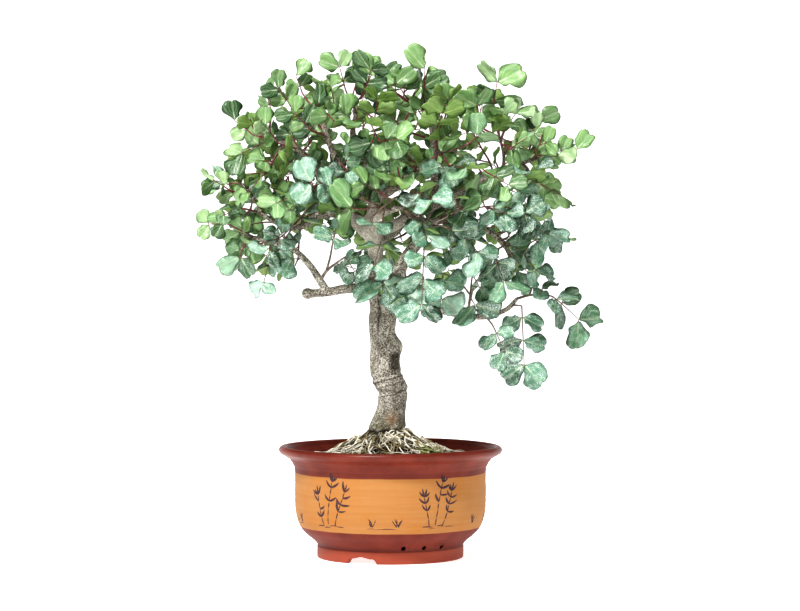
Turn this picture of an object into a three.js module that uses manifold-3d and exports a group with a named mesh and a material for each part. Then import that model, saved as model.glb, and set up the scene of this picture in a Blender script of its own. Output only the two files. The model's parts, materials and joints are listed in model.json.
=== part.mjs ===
// A carob bonsai in a round clay pot with three feet.
// Millimetres, +Z up, the front of the tree towards -Y. The pot stands on z = 0.

import * as THREE from 'three';
import { mergeVertices } from 'three/addons/utils/BufferGeometryUtils.js';
import Module from 'manifold-3d';

const wasm = await Module();
wasm.setup();

// Driving sizes.
const GAP = 0.3;
const FINENESS = 0.1;

const POT = {
  rimRadius: 125,
  height: 125,
  lipRadius: 4.5,
  wall: 6,
  footRadius: 81.7,
  footHeight: 15,
  footWidth: 9,
  recess: 9,
  floor: 15,
  sides: 32,
};

const FEET = { count: 3, firstGap: -23, gapWidth: 34, gapHeight: 8 };
const SIDE_HOLES = { azimuths: [10, 26.5, 42.5], height: 18, radius: 2.5 };
const DRAIN = { radius: 12, meshSide: 34, meshThickness: 1.2, holes: 2, bar: 2.6 };

const SOIL = { level: 114, moundTop: 141, moundRadius: 72 };

const LEAF = {
  thickness: 0.8,
  ribWidth: 1.6,
  seat: 2.4,
  petiole: 0.42,
  pairSpacing: 0.78,
  fiveFrom: 32,
  fourFrom: 22,
};

const SEED = 20812;

// The tree, by hand.
// Each row is x, y, z and radius on the middle line of the wood.
const TRUNK = [
  [-3, 0, 118, 17],
  [-3, 0, 135, 21],
  [-3, 0, 143, 22],
  [-2, 0, 153, 19.3],
  [1, 0, 168, 16.2],
  [2, 0, 185, 16.4],
  [-2, 0, 196, 18],
  [-6, 1, 214, 17],
  [-5, 1, 236, 16],
  [-8, 1, 252, 13.4],
  [-8, 1, 268, 14.2],
  [-8, 1, 284, 12],
  [-10, 1, 294, 7],
];

const LIMBS = {
  left_stem: [[-12, 4, 246, 8], [-17, 4, 277, 7.5], [-18, 4, 310, 9], [-17, 3, 343, 11], [-22, 0, 368, 13]],
  right_stem: [
    [-3, -2, 250, 10], [-3, -2, 277, 10.5], [2, -3, 300, 9.5], [8, -2, 316, 9], [20, 2, 338, 8.5],
    [38, 6, 362, 8], [50, 8, 388, 7], [50, 10, 412, 6], [48, 10, 440, 5], [47, 6, 474, 4], [38, 2, 498, 3],
  ],
  left_upright: [
    [-34, 0, 368, 8], [-45, -8, 382, 7], [-46, -12, 400, 6.5], [-52, -15, 427, 6],
    [-62, -18, 449, 5], [-70, -20, 468, 4], [-76, -20, 490, 3],
  ],
  middle_upright: [
    [-22, 2, 372, 8], [-20, 10, 393, 7], [-17, 14, 416, 6.5], [-25, 14, 434, 6],
    [-37, 10, 451, 5.2], [-42, 5, 475, 4.2], [-38, -2, 496, 3],
  ],
  inner_right: [
    [-25, -5, 376, 7], [-13, -14, 400, 6.5], [0, -22, 409, 6], [14, -28, 420, 5], [30, -30, 430, 4],
    [50, -34, 442, 3],
  ],
  right_limb: [
    [-20, -3, 369, 9], [0, -6, 369, 8], [17, -8, 378, 7.5], [32, -8, 385, 7], [56, -8, 396, 6.2],
    [84, -6, 410, 5.4], [118, -4, 428, 4.4], [146, -4, 440, 3.6], [168, -4, 447, 2.8],
  ],
  right_drooping: [
    [44, 6, 376, 6], [62, 0, 378, 5.5], [84, -10, 374, 5], [110, -20, 364, 4.2], [128, -25, 346, 3.5],
    [140, -28, 330, 2.8],
  ],
  low_right: [
    [4, -4, 296, 7], [18, -10, 288, 6.5], [42, -20, 281, 5.6], [73, -30, 273, 4.8], [104, -38, 270, 4],
    [128, -40, 278, 3.2], [140, -38, 290, 2.6],
  ],
  low_left: [
    [-18, 2, 306, 8], [-34, -4, 302, 7], [-52, -9, 300, 6.5], [-72, -12, 296, 6], [-89, -14, 295, 5.6],
  ],
  low_left_rising: [
    [-70, -12, 297, 5.5], [-78, -14, 309, 5], [-87, -16, 323, 4.6], [-100, -20, 338, 4.2],
    [-114, -24, 348, 3.8], [-134, -26, 352, 3.2], [-152, -26, 358, 2.6],
  ],
  left_level: [
    [-28, -2, 372, 8], [-44, -4, 380, 7], [-60, -8, 384, 6.2], [-80, -12, 382, 5.6], [-93, -16, 372, 5],
    [-108, -20, 368, 4.4], [-126, -22, 374, 3.6], [-144, -20, 384, 2.8],
  ],
  left_upper: [
    [-47, -11, 398, 5.5], [-62, -16, 408, 5], [-76, -18, 421, 4.6], [-84, -18, 436, 4.2],
    [-95, -20, 449, 4], [-110, -20, 460, 3.6], [-128, -18, 467, 3], [-146, -16, 473, 2.4],
  ],
  left_middle: [
    [-45, -6, 392, 5], [-62, 6, 402, 4.6], [-80, 12, 410, 4.2], [-104, 16, 408, 3.8],
    [-130, 14, 402, 3.2], [-154, 8, 404, 2.6],
  ],
  back_left: [
    [-26, 6, 372, 7], [-46, 32, 386, 6], [-74, 62, 402, 5], [-104, 84, 424, 4], [-122, 92, 444, 3],
  ],
  back_right: [
    [42, 10, 370, 6.5], [58, 38, 386, 5.6], [84, 66, 402, 4.8], [112, 84, 420, 3.8], [130, 90, 440, 2.8],
  ],
  back_middle: [[-18, 16, 416, 5.5], [-12, 44, 436, 4.8], [-2, 72, 458, 4], [6, 88, 478, 3]],
  back_low: [[-16, 8, 346, 7], [-8, 38, 356, 5.8], [6, 72, 362, 4.6], [14, 98, 372, 3.4]],
  front_middle: [[-20, -8, 372, 6.5], [-12, -30, 382, 5.6], [2, -52, 388, 4.6], [14, -68, 390, 3.4]],
};
const LIMB_SLIMMING = 0.82;
const LIMB_STEPS = 4;
const TWIG_STEP = 16;
const BUD = 1.4;

// Thick roots that run out over the mound: azimuth (0 = front, + = to the right), reach and radius.
const ROOTS = [
  [-78, 62, 4.6],
  [-42, 54, 3.8],
  [-8, 58, 4.4],
  [24, 50, 3.6],
  [62, 66, 4.6],
  [104, 56, 4],
  [150, 60, 4.4],
  [196, 54, 3.8],
  [236, 62, 4.2],
];

// Each row is a shoot: x, y, z of its tip, leaflet length, leaves, pairs of leaflets in a leaf,
// lift (up or hanging), and for some the direction of the end leaf.
const SHOOTS = {
  hero: [
    [37, -100, 350, 30, 1, 3, -1.9, [-0.05, -0.22, -1]],
    [145, -42, 282, 30, 1, 3, -1.8, [0.04, -0.12, -1]],
    [180, -14, 292, 31, 1, 2, -0.6, [0.8, -0.05, -0.6]],
    [-4, -52, 322, 34, 1, 1, -1.2, [-0.25, -0.2, -0.95]],
    [37, -8, 514, 29, 1, 2, 1.6, [0.04, -0.1, 1]],
    [-30, -92, 388, 34, 1, 1, -0.6, [-0.75, -0.5, 0.2]],
    [114, -12, 498, 30, 1, 2, 1.3, [0.1, -0.1, 1]],
    [-162, -46, 346, 25, 1, 1, -1.6, [-0.35, -0.1, -1]],
  ],
  crown: [
    [-98, -10, 518, 20, 2, 2, 1.0],
    [-50, -25, 522, 23, 2, 2, 1.2],
    [-27, -45, 518, 26, 2, 2, 1.1],
    [-17, -60, 488, 25, 2, 2, 0.8],
    [6, -25, 518, 25, 2, 2, 1.1],
    [-78, -15, 508, 22, 1, 2, 1.0],
    [62, -5, 516, 26, 2, 2, 1.1],
    [89, -15, 508, 28, 2, 2, 1.0],
    [132, -15, 488, 26, 2, 2, 0.9],
    [60, -30, 488, 25, 2, 2, 0.8],
    [100, -40, 476, 26, 2, 2, 0.6],
    [158, 0, 464, 24, 2, 2, 0.7],
    [180, -6, 452, 24, 2, 2, 0.2],
    [10, -5, 478, 25, 1, 2, 0.7],
  ],
  right: [
    [159, -25, 420, 25, 2, 2, -0.2],
    [137, -50, 412, 25, 2, 2, -0.1],
    [147, -45, 376, 26, 2, 2, -0.5],
    [141, -35, 346, 25, 2, 2, -0.4],
    [113, -60, 339, 28, 2, 2, -0.8],
    [91, -62, 302, 30, 2, 1, -0.5],
    [91, -20, 316, 26, 2, 2, -0.6],
    [167, 10, 381, 24, 2, 2, -0.5],
    [161, -10, 344, 22, 1, 2, -0.3],
  ],
  front: [
    [73, -78, 366, 27, 2, 2, -0.9],
    [-8, -88, 360, 28, 2, 2, -0.8],
    [-50, -42, 336, 21, 2, 2, -0.2],
    [16, -60, 322, 26, 1, 2, -1.0],
    [58, -50, 318, 28, 2, 2, -1.0],
    [-60, -48, 366, 23, 2, 2, -0.5],
    [-11, -78, 462, 26, 2, 2, 0.3],
    [8, -88, 434, 27, 2, 2, -0.2],
    [26, -92, 408, 28, 2, 2, -0.5],
    [50, -64, 474, 26, 2, 2, 0.4],
    [64, -84, 436, 26, 2, 2, -0.3],
    [89, -64, 462, 25, 2, 2, 0.3],
    [106, -74, 428, 26, 2, 2, -0.4],
    [132, -48, 454, 24, 2, 2, 0.4],
    [89, -88, 393, 26, 2, 3, -0.7],
    [120, -78, 392, 25, 2, 2, -0.6],
    [-56, -78, 408, 28, 2, 2, -0.3],
    [-100, -62, 406, 23, 2, 2, -0.3],
    [-89, -58, 380, 22, 2, 2, -0.7],
    [-138, -34, 428, 23, 2, 2, 0.1],
    [-112, -48, 438, 23, 2, 2, 0.2],
    [33, -96, 382, 26, 2, 2, -0.9],
    [-61, -62, 484, 24, 2, 2, 0.6],
    [-88, -48, 476, 23, 2, 2, 0.5],
    [-30, -72, 476, 25, 2, 2, 0.5],
    [36, -50, 446, 26, 1, 2, 0.2],
  ],
  left: [
    [-117, -48, 361, 22, 2, 2, -0.7],
    [-154, -38, 352, 25, 2, 2, -0.6],
    [-132, -40, 335, 22, 2, 2, -1.2],
    [-179, -15, 372, 19, 2, 2, 0.1],
    [-179, -20, 410, 22, 2, 2, 0.4],
    [-166, -36, 390, 20, 2, 2, -0.2],
    [-168, 10, 404, 22, 2, 2, 0.2],
    [-160, -20, 432, 27, 2, 2, 0.5],
    [-154, -10, 472, 22, 2, 2, 0.6],
    [-132, -10, 497, 21, 2, 2, 0.8],
    [-110, -25, 502, 22, 2, 2, 0.8],
    [-124, -36, 462, 23, 2, 2, 0.4],
  ],
};

// Shoots that grow into one another near their foot are one spray.
const FUSED = {
  front_8: 'hero_1',
  front_9: 'hero_1',
  left_4: 'hero_8',
  back_5: 'back_2',
  back_10: 'back_2',
};

// The far side of the dome carries shoots spread evenly by a rule.
const BACK = { shoots: 18, centre: [0, 20, 396], reach: [160, 125, 116], from: -12, sweep: 204 };

// The outline of the crown from the front: x, lowest and highest z.
const CROWN = [
  [-222, 372, 428],
  [-200, 340, 452],
  [-188, 330, 470],
  [-161, 306, 515],
  [-121, 307, 534],
  [-108, 308, 535],
  [-94, 362, 535],
  [-60, 352, 557],
  [-27, 300, 563],
  [0, 288, 568],
  [40, 292, 566],
  [67, 318, 559],
  [93, 340, 543],
  [120, 330, 545],
  [147, 240, 531],
  [174, 300, 500],
  [187, 372, 482],
  [216, 440, 456],
];
const CROWN_CENTRE = [0, 0, 408];
const CROWN_REACH = [222, 132, 172];

// Younger shoots fill what the others leave open: a few by hand, the rest at spots spread over
// the crown, where no leaf is near.
const LATE = [
  [126, -52, 290, 27, 2, 2, -1.0],
  [158, -30, 304, 26, 2, 2, -0.9],
  [112, -56, 262, 26, 2, 2, -1.2],
  [-2, -20, 548, 24, 2, 2, 1.0],
  [62, -20, 548, 24, 2, 2, 1.1],
];
const YOUNG = { spots: 900, from: 0.7, open: 12, ownTwig: 7, shortest: 10, longest: 60, size: [21, 27] };

// Vectors and draws.
const GOLDEN_ANGLE = 2.39996323;
const vec = (x, y, z) => new THREE.Vector3(x, y, z);
const UP = vec(0, 0, 1);
const rad = THREE.MathUtils.degToRad;
const plus = (a, b, scale = 1) => a.clone().addScaledVector(b, scale);
const minus = (a, b) => a.clone().sub(b);
const cross = (a, b) => new THREE.Vector3().crossVectors(a, b);

function turned(v, axis, angle) {
  const cos = Math.cos(angle);
  const out = v.clone().multiplyScalar(cos).addScaledVector(cross(axis, v), Math.sin(angle));
  return out.addScaledVector(axis, axis.dot(v) * (1 - cos));
}

function makeDraws(seed) {
  let state = seed;
  return (low, high) => {
    state = (state * 48271) % 2147483647;
    return low + (high - low) * (state / 2147483647);
  };
}

// Closed solids.
function geometryOf(points, triangles) {
  const geometry = new THREE.BufferGeometry();
  const positions = points.flatMap((p) => [p.x, p.y, p.z]);
  geometry.setAttribute('position', new THREE.Float32BufferAttribute(positions, 3));
  geometry.setIndex(triangles.flat());
  return geometry;
}

function solidOf(geometry) {
  let bare = geometry.clone();
  for (const name of ['normal', 'uv']) bare.deleteAttribute(name);
  bare = mergeVertices(bare, 1e-4);
  const mesh = new wasm.Mesh({
    numProp: 3,
    vertProperties: new Float32Array(bare.attributes.position.array),
    triVerts: new Uint32Array(bare.index.array),
  });
  return new wasm.Manifold(mesh);
}

function joined(solids) {
  return solids.reduce((sum, solid) => sum.add(solid));
}

function largestPiece(solid) {
  const pieces = solid.decompose();
  return pieces.reduce((best, piece) => (piece.volume() > best.volume() ? piece : best));
}

function geometryFrom(solid) {
  const mesh = solid.asOriginal().simplify(FINENESS).getMesh();
  const geometry = new THREE.BufferGeometry();
  const positions = new Float32Array((mesh.vertProperties.length / mesh.numProp) * 3);
  for (let i = 0; i < positions.length / 3; i += 1) {
    for (let k = 0; k < 3; k += 1) positions[3 * i + k] = mesh.vertProperties[mesh.numProp * i + k];
  }
  geometry.setAttribute('position', new THREE.BufferAttribute(positions, 3));
  geometry.setIndex(new THREE.BufferAttribute(new Uint32Array(mesh.triVerts), 1));
  geometry.computeVertexNormals();
  return geometry;
}

// Rings of corners, each turned as little as possible from the last, closed by a fan at each end.
function tube(points, radiusAt, sides, outline = () => 1) {
  const last = points.length - 1;
  const corners = [];
  const triangles = [];
  let across = null;
  points.forEach((p, i) => {
    const along = minus(points[Math.min(i + 1, last)], points[Math.max(i - 1, 0)]).normalize();
    if (across === null) across = cross(along, Math.abs(along.y) < 0.9 ? vec(0, 1, 0) : vec(1, 0, 0));
    across.addScaledVector(along, -across.dot(along)).normalize();
    const other = cross(along, across);
    for (let k = 0; k < sides; k += 1) {
      const angle = (2 * Math.PI * k) / sides;
      const r = radiusAt(i) * outline(p, angle);
      corners.push(plus(plus(p, across, r * Math.cos(angle)), other, r * Math.sin(angle)));
    }
  });
  for (let i = 0; i < last; i += 1) {
    for (let k = 0; k < sides; k += 1) {
      const a = i * sides + k;
      const b = i * sides + ((k + 1) % sides);
      triangles.push([a, b, b + sides], [a, b + sides, a + sides]);
    }
  }
  for (let k = 1; k < sides - 1; k += 1) {
    triangles.push([0, k + 1, k]);
    triangles.push([last * sides, last * sides + k, last * sides + k + 1]);
  }
  return geometryOf(corners, triangles);
}

// The same points with the first and the last moved outwards.
function lengthened(points, atStart, atEnd = atStart) {
  const last = points.length - 1;
  const moved = (end, next, extra) => plus(end, minus(end, next).normalize(), extra);
  return [
    moved(points[0], points[1], atStart),
    ...points.slice(1, last),
    moved(points[last], points[last - 1], atEnd),
  ];
}

// A smooth line through rows of x, y, z, radius, with a few points for each stretch.
function smoothLine(rows, perStretch) {
  const out = [];
  const n = rows.length;
  const mirrored = (a, b) => a.map((value, k) => 2 * value - b[k]);
  for (let i = 0; i < n - 1; i += 1) {
    const a = i > 0 ? rows[i - 1] : mirrored(rows[0], rows[1]);
    const b = rows[i];
    const c = rows[i + 1];
    const d = i + 2 < n ? rows[i + 2] : mirrored(rows[n - 1], rows[n - 2]);
    for (let j = 0; j < perStretch; j += 1) {
      const t = j / perStretch;
      out.push(b.map((_, k) => 0.5 * (2 * b[k] + (c[k] - a[k]) * t
        + (2 * a[k] - 5 * b[k] + 4 * c[k] - d[k]) * t * t
        + (3 * b[k] - a[k] - 3 * c[k] + d[k]) * t * t * t)));
    }
  }
  out.push(rows[n - 1]);
  return out.map((row) => ({ p: vec(row[0], row[1], row[2]), r: row[3] }));
}

// Room among the leaves.
// Cells that are taken, with their neighbours, keep the leaves clear of each other.
class Room {
  constructor(cell) {
    this.cell = cell;
    this.taken = new Set();
  }

  key(p, i = 0, j = 0, k = 0) {
    const x = Math.floor(p.x / this.cell) + 400 + i;
    const y = Math.floor(p.y / this.cell) + 400 + j;
    const z = Math.floor(p.z / this.cell) + 400 + k;
    return (x * 1000 + y) * 1000 + z;
  }

  take(points) {
    for (const p of points) {
      for (const i of [-1, 0, 1]) {
        for (const j of [-1, 0, 1]) {
          for (const k of [-1, 0, 1]) this.taken.add(this.key(p, i, j, k));
        }
      }
    }
  }

  isFree(points) {
    return points.every((p) => !this.taken.has(this.key(p)));
  }
}

const LEAF_CELL = 3.2;
const OWN_CELL = 1.8;
const SAMPLE_STEP = 2.2;

// Leaflets and leaves.
// Half of a leaflet's width at a share t of its length, as a share of its widest half: an egg
// shape with the broad end outwards.
function halfWidth(t) {
  return t < 0.55 ? Math.min(1, 1.9 * t) : Math.sqrt(Math.max(0, 1 - ((t - 0.55) / 0.47) ** 2));
}

class Leaflet {
  constructor(root, along, face, length, width, fold, curl) {
    Object.assign(this, { root, along, face, length, width, fold, curl });
    this.side = cross(face, along);
  }

  at(u, v) {
    const rise = this.fold * Math.abs(v) - (this.curl * u * u) / this.length;
    return plus(plus(plus(this.root, this.along, u), this.side, v), this.face, rise);
  }

  samples() {
    const rows = Math.floor(this.length / SAMPLE_STEP);
    const out = [];
    for (let i = 1; i <= rows; i += 1) {
      const t = i / rows;
      const half = (halfWidth(t) * this.width) / 2;
      const columns = Math.floor(half / SAMPLE_STEP) + 1;
      for (let j = -columns; j <= columns; j += 1) {
        out.push({ u: t * this.length, p: this.at(t * this.length, (half * j) / columns) });
      }
    }
    return out;
  }
}

// A leaf is a thin rib with pairs of leaflets along it and none at its end.
function growLeaf(base, aim, face, pairs, size, draw) {
  const petiole = LEAF.petiole * size;
  const spacing = LEAF.pairSpacing * size;
  const reach = petiole + spacing * (pairs - 1);
  const own = new Room(OWN_CELL);
  const stations = [];
  const leaflets = [];
  for (let j = 0; j < pairs; j += 1) {
    const t = petiole + spacing * j;
    const p = plus(plus(base, aim, t), UP, (-0.1 * t * t) / reach);
    const tangent = plus(aim, UP, (-0.2 * t) / reach).normalize();
    const normal = plus(face, tangent, -face.dot(tangent)).normalize();
    const side = cross(normal, tangent);
    stations.push({ p, tangent, normal, side });
    const last = j === pairs - 1;
    const growth = 0.8 + (0.2 * (j + 1)) / pairs;
    for (const sign of [-1, 1]) {
      for (let attempt = 0; attempt < 5; attempt += 1) {
        const splay = rad(last ? draw(44, 60) : draw(54, 76));
        const along = tangent.clone().multiplyScalar(Math.cos(splay));
        along.addScaledVector(side, sign * Math.sin(splay));
        along.addScaledVector(normal, draw(-0.22, 0.3)).normalize();
        let lie = plus(normal, along, -normal.dot(along)).normalize();
        lie = turned(lie, along, rad(draw(-24, 24)));
        const length = size * growth * draw(0.88, 1.12);
        const width = length * draw(0.72, 0.9);
        const root = plus(p, side, sign * 0.8);
        const leaflet = new Leaflet(root, along, lie, length, width, draw(0.05, 0.26), draw(0, 0.25));
        leaflet.points = leaflet.samples();
        const far = leaflet.points.filter((s) => s.u > 4.5).map((s) => s.p);
        if (!own.isFree(far)) continue;
        own.take(far);
        Object.assign(leaflet, { station: j, sign });
        leaflets.push(leaflet);
        break;
      }
    }
  }
  return { base, aim, face, stations, leaflets };
}

const pointsOf = (leaf) => leaf.leaflets.flatMap((leaflet) => leaflet.points.map((s) => s.p));

// Shoots over the crown.
function backShoots(draw) {
  const rows = [];
  for (let i = 0; i < BACK.shoots; i += 1) {
    const share = ((i * GOLDEN_ANGLE) / (2 * Math.PI)) % 1;
    const phi = rad(BACK.from + BACK.sweep * share);
    const z = -0.55 + (1.45 * (i + 0.5)) / BACK.shoots;
    const out = Math.sqrt(Math.max(0.05, 1 - z * z));
    const x = BACK.centre[0] + BACK.reach[0] * Math.cos(phi) * out;
    const y = BACK.centre[1] + BACK.reach[1] * Math.sin(phi) * out;
    rows.push([x, y, BACK.centre[2] + BACK.reach[2] * z, draw(22, 27), 2, 2, 1.2 * z - 0.1]);
  }
  return rows;
}

// Each shoot leaves the nearest wood or older shoot that points its way.
function nearestSeat(tip, skeleton) {
  let best = null;
  let least = Infinity;
  for (const seat of skeleton) {
    const toTip = minus(tip, seat.p);
    const d = toTip.length();
    const cost = d < 25 ? 200 - d : d * (1 + 0.35 * (1 - toTip.dot(seat.tangent) / d));
    if (cost < least) [best, least] = [seat, cost];
  }
  return best;
}

function growShoot(own, row, seat, skeleton, room) {
  const [x, y, z, size, leafCount, pairs, lift, given] = row;
  const tip = vec(x, y, z);
  const reach = seat.p.distanceTo(tip);
  const way = minus(tip, seat.p).normalize();
  const end = plus(way, UP, 0.5 * lift).normalize();
  const start = plus(way, seat.tangent, 0.5).normalize();
  const leaving = plus(seat.p, start, 0.33 * reach);
  const arriving = plus(tip, end, -0.33 * reach);
  const curve = new THREE.CubicBezierCurve3(seat.p, leaving, arriving, tip);
  const steps = Math.max(3, Math.round(reach / TWIG_STEP));
  const line = [];
  for (let k = 0; k <= steps; k += 1) line.push(curve.getPoint(k / steps));
  for (let k = 1; k <= 2 * steps; k += 1) room.take([curve.getPoint(k / (2 * steps))]);
  const node = seat.bearer?.node ?? FUSED[own] ?? own;
  const r = Math.min(seat.r * 0.75, 1.4 + 0.012 * reach);
  const shoot = { node, line, reach, r, size, leafCount, pairs, lift, given, leaves: [], bears: false };
  if (seat.bearer) seat.bearer.bears = true;
  for (let k = 1; k < 0.6 * steps; k += 1) {
    const tangent = minus(line[k + 1], line[k - 1]).normalize();
    skeleton.push({ p: line[k], r, tangent, bearer: shoot });
  }
  return shoot;
}

function growShoots(limbLines, draw, room) {
  const skeleton = [];
  for (const line of Object.values(limbLines)) {
    line.forEach(({ p, r }, i) => {
      const ahead = line[Math.min(i + 1, line.length - 1)].p;
      const behind = line[Math.max(i - 1, 0)].p;
      skeleton.push({ p, r, tangent: minus(ahead, behind).normalize(), bearer: null });
      room.take([p]);
    });
  }
  const rows = [];
  for (const [region, list] of Object.entries(SHOOTS)) {
    list.forEach((row, i) => rows.push([`${region}_${i + 1}`, row]));
  }
  backShoots(draw).forEach((row, i) => rows.push([`back_${i + 1}`, row]));
  const shoots = rows.map(([own, row]) => {
    const seat = nearestSeat(vec(row[0], row[1], row[2]), skeleton);
    return growShoot(own, row, seat, skeleton, room);
  });
  return { shoots, skeleton };
}

// Leaves leave the shoot in a spiral from its tip back, and a leaf that finds no room is turned
// on, then made shorter, and at last left out.
const HEART = vec(0, 0, 380);

function growLeaves(shoot, draw, room, fits = () => true) {
  const n = shoot.line.length - 1;
  const spiral = draw(0, 6.283);
  for (let k = 0; k < shoot.leafCount; k += 1) {
    const f = Math.max(0.3, 1 - (k * 16) / shoot.reach) * n;
    const i = Math.min(Math.floor(f), n - 1);
    const base = shoot.line[i].clone().lerp(shoot.line[i + 1], f - i);
    const tangent = minus(shoot.line[i + 1], shoot.line[i]).normalize();
    const out = minus(base, HEART).normalize();
    const helper = cross(tangent, Math.abs(tangent.z) < 0.9 ? UP : vec(1, 0, 0)).normalize();
    for (let attempt = 0; attempt < 18; attempt += 1) {
      const shorter = attempt < 8 ? 0 : attempt < 14 ? 1 : 2;
      const pairs = Math.max(1, shoot.pairs - shorter);
      const radial = turned(helper, tangent, spiral + 2.4 * k + 2.4 * attempt);
      let aim = tangent.clone().multiplyScalar(0.6).addScaledVector(radial, k === 0 ? 0.35 : 0.9);
      aim.addScaledVector(out, 0.5).addScaledVector(UP, 0.75 * shoot.lift).normalize();
      let way = vec(0, base.y > 25 ? 0.75 : -0.75, 0.55).addScaledVector(out, 0.35).normalize();
      let spin = 28;
      if (shoot.given && k === 0) {
        const stray = vec(draw(-0.15, 0.15), draw(-0.15, 0.15), draw(-0.15, 0.15));
        aim = plus(vec(...shoot.given).normalize(), stray, attempt / 4).normalize();
        way = vec(0, -1, 0.35).normalize();
        spin = 12;
      }
      let flat = plus(way, aim, -way.dot(aim));
      if (flat.lengthSq() < 0.05) flat = plus(UP, aim, -UP.dot(aim));
      const face = turned(flat.normalize(), aim, rad(draw(-spin, spin)));
      const leaf = growLeaf(base, aim, face, pairs, shoot.size, draw);
      if (leaf.leaflets.length < 2 * pairs - 1) continue;
      const points = pointsOf(leaf);
      if (!fits(points) || !room.isFree(points)) continue;
      room.take(points);
      shoot.leaves.push(leaf);
      break;
    }
  }
}

// Younger shoots.
const isLeafy = (shoot) => shoot.bears || shoot.leaves.length > 0;

// A value between the rows of a table whose first column is x, beyond its ends the end value.
function between(rows, x, column) {
  const next = rows.findIndex((row) => row[0] >= x);
  if (next === 0) return rows[0][column];
  if (next < 0) return rows[rows.length - 1][column];
  const [a, b] = [rows[next - 1], rows[next]];
  return a[column] + ((b[column] - a[column]) * (x - a[0])) / (b[0] - a[0]);
}

function isInCrown(points) {
  return points.every((p) => {
    const scaled = minus(p, vec(...CROWN_CENTRE)).divide(vec(...CROWN_REACH));
    return p.z > between(CROWN, p.x, 1) && p.z < between(CROWN, p.x, 2) && scaled.lengthSq() < 1;
  });
}

// The nearest seat on an older leafy shoot from which a straight way to the tip is free.
function openSeat(tip, skeleton, room) {
  const older = skeleton.filter(({ bearer }) => bearer && isLeafy(bearer));
  const near = older.map((seat) => ({ seat, reach: seat.p.distanceTo(tip) }));
  near.sort((a, b) => a.reach - b.reach);
  for (const { seat, reach } of near) {
    if (reach > YOUNG.longest) return null;
    if (reach < YOUNG.shortest) continue;
    const way = minus(tip, seat.p).normalize();
    const places = [];
    for (let t = YOUNG.ownTwig; t < reach; t += 3) places.push(plus(seat.p, way, t));
    if (room.isFree(places)) return seat;
  }
  return null;
}

function growYoung(shoots, skeleton, draw, room) {
  const openRoom = new Room(YOUNG.open);
  const fill = (shoot) => shoot.leaves.forEach((leaf) => openRoom.take(pointsOf(leaf)));
  const grow = (row, fits) => {
    const seat = openSeat(vec(row[0], row[1], row[2]), skeleton, room);
    if (seat === null) return;
    const shoot = growShoot('young', row, seat, skeleton, room);
    growLeaves(shoot, draw, room, fits);
    fill(shoot);
    shoots.push(shoot);
  };
  shoots.forEach(fill);
  for (const row of LATE) grow(row);
  for (let i = 0; i < YOUNG.spots; i += 1) {
    const height = 1 - (2 * (i + 0.5)) / YOUNG.spots;
    const phi = i * GOLDEN_ANGLE;
    const out = Math.sqrt(1 - height * height);
    const share = draw(YOUNG.from, 1);
    const around = vec(Math.cos(phi) * out, Math.sin(phi) * out, height).multiply(vec(...CROWN_REACH));
    const tip = plus(vec(...CROWN_CENTRE), around, share);
    const size = draw(...YOUNG.size);
    const lift = draw(-0.3, 0.5) + (tip.z - CROWN_CENTRE[2]) / 200;
    if (isInCrown([tip]) && openRoom.isFree([tip])) grow([...tip, size, 2, 2, lift], isInCrown);
  }
}

// Leaves as thin solids.
// Corners of a leaflet's edge, as shares of its length and half width: more for a longer one.
function leafletRim(length) {
  if (length > LEAF.fiveFrom) return [[0.38, -0.94], [0.8, -0.8], [0.99, 0], [0.8, 0.8], [0.38, 0.94]];
  if (length > LEAF.fourFrom) return [[0.38, -0.94], [0.88, -0.62], [0.88, 0.62], [0.38, 0.94]];
  return [[0.5, -1], [0.98, 0], [0.5, 1]];
}

// The rib is a strip, and each leaflet hangs on a short stretch of its edge. The sheet is given
// its thickness along its own normals, with the same triangles on both faces.
function leafGeometry(leaf) {
  const points = [];
  const normals = [];
  const faces = [];
  const add = (p, n) => {
    points.push(p);
    normals.push(n);
    return points.length - 1;
  };
  const row = (p, side, normal) => [
    add(plus(p, side, -LEAF.ribWidth / 2), normal),
    add(plus(p, side, LEAF.ribWidth / 2), normal),
  ];
  const strip = ([r0, l0], [r1, l1]) => faces.push([r0, r1, l1], [r0, l1, l0]);

  const first = leaf.stations[0];
  let previous = row(leaf.base, first.side, first.normal);
  leaf.stations.forEach(({ p, tangent, side, normal }, j) => {
    const rear = row(plus(p, tangent, -LEAF.seat / 2), side, normal);
    strip(previous, rear);
    let front = null;
    if (j === leaf.stations.length - 1) {
      const tip = add(plus(p, tangent, LEAF.seat / 2), normal);
      front = [tip, tip];
      faces.push([rear[0], tip, rear[1]]);
    } else {
      front = row(plus(p, tangent, LEAF.seat / 2), side, normal);
      strip(rear, front);
    }
    previous = front;
    for (const leaflet of leaf.leaflets.filter((one) => one.station === j)) {
      const { length: L, width: W, face, sign } = leaflet;
      const [s, e] = sign > 0 ? [front[1], rear[1]] : [rear[0], front[0]];
      const edge = (u, v) => add(leaflet.at(u * L, (v * W) / 2), face);
      const rim = leafletRim(L).map(([u, v]) => edge(u, v));
      const middle = Math.floor(rim.length / 2);
      rim.slice(1).forEach((corner, i) => faces.push([i < middle ? s : e, rim[i], corner]));
      faces.push([s, rim[middle], e]);
    }
  });

  const count = points.length;
  const half = LEAF.thickness / 2;
  const upper = points.map((p, i) => plus(p, normals[i], half));
  const lower = points.map((p, i) => plus(p, normals[i], -half));
  const triangles = [];
  const edges = new Set(faces.flatMap(([a, b, c]) => [`${a}-${b}`, `${b}-${c}`, `${c}-${a}`]));
  for (const [a, b, c] of faces) {
    triangles.push([a, b, c], [c + count, b + count, a + count]);
    for (const [i, j] of [[a, b], [b, c], [c, a]]) {
      if (!edges.has(`${j}-${i}`)) triangles.push([i + count, j + count, j], [i + count, j, i]);
    }
  }
  return geometryOf([...upper, ...lower], triangles);
}

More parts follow.
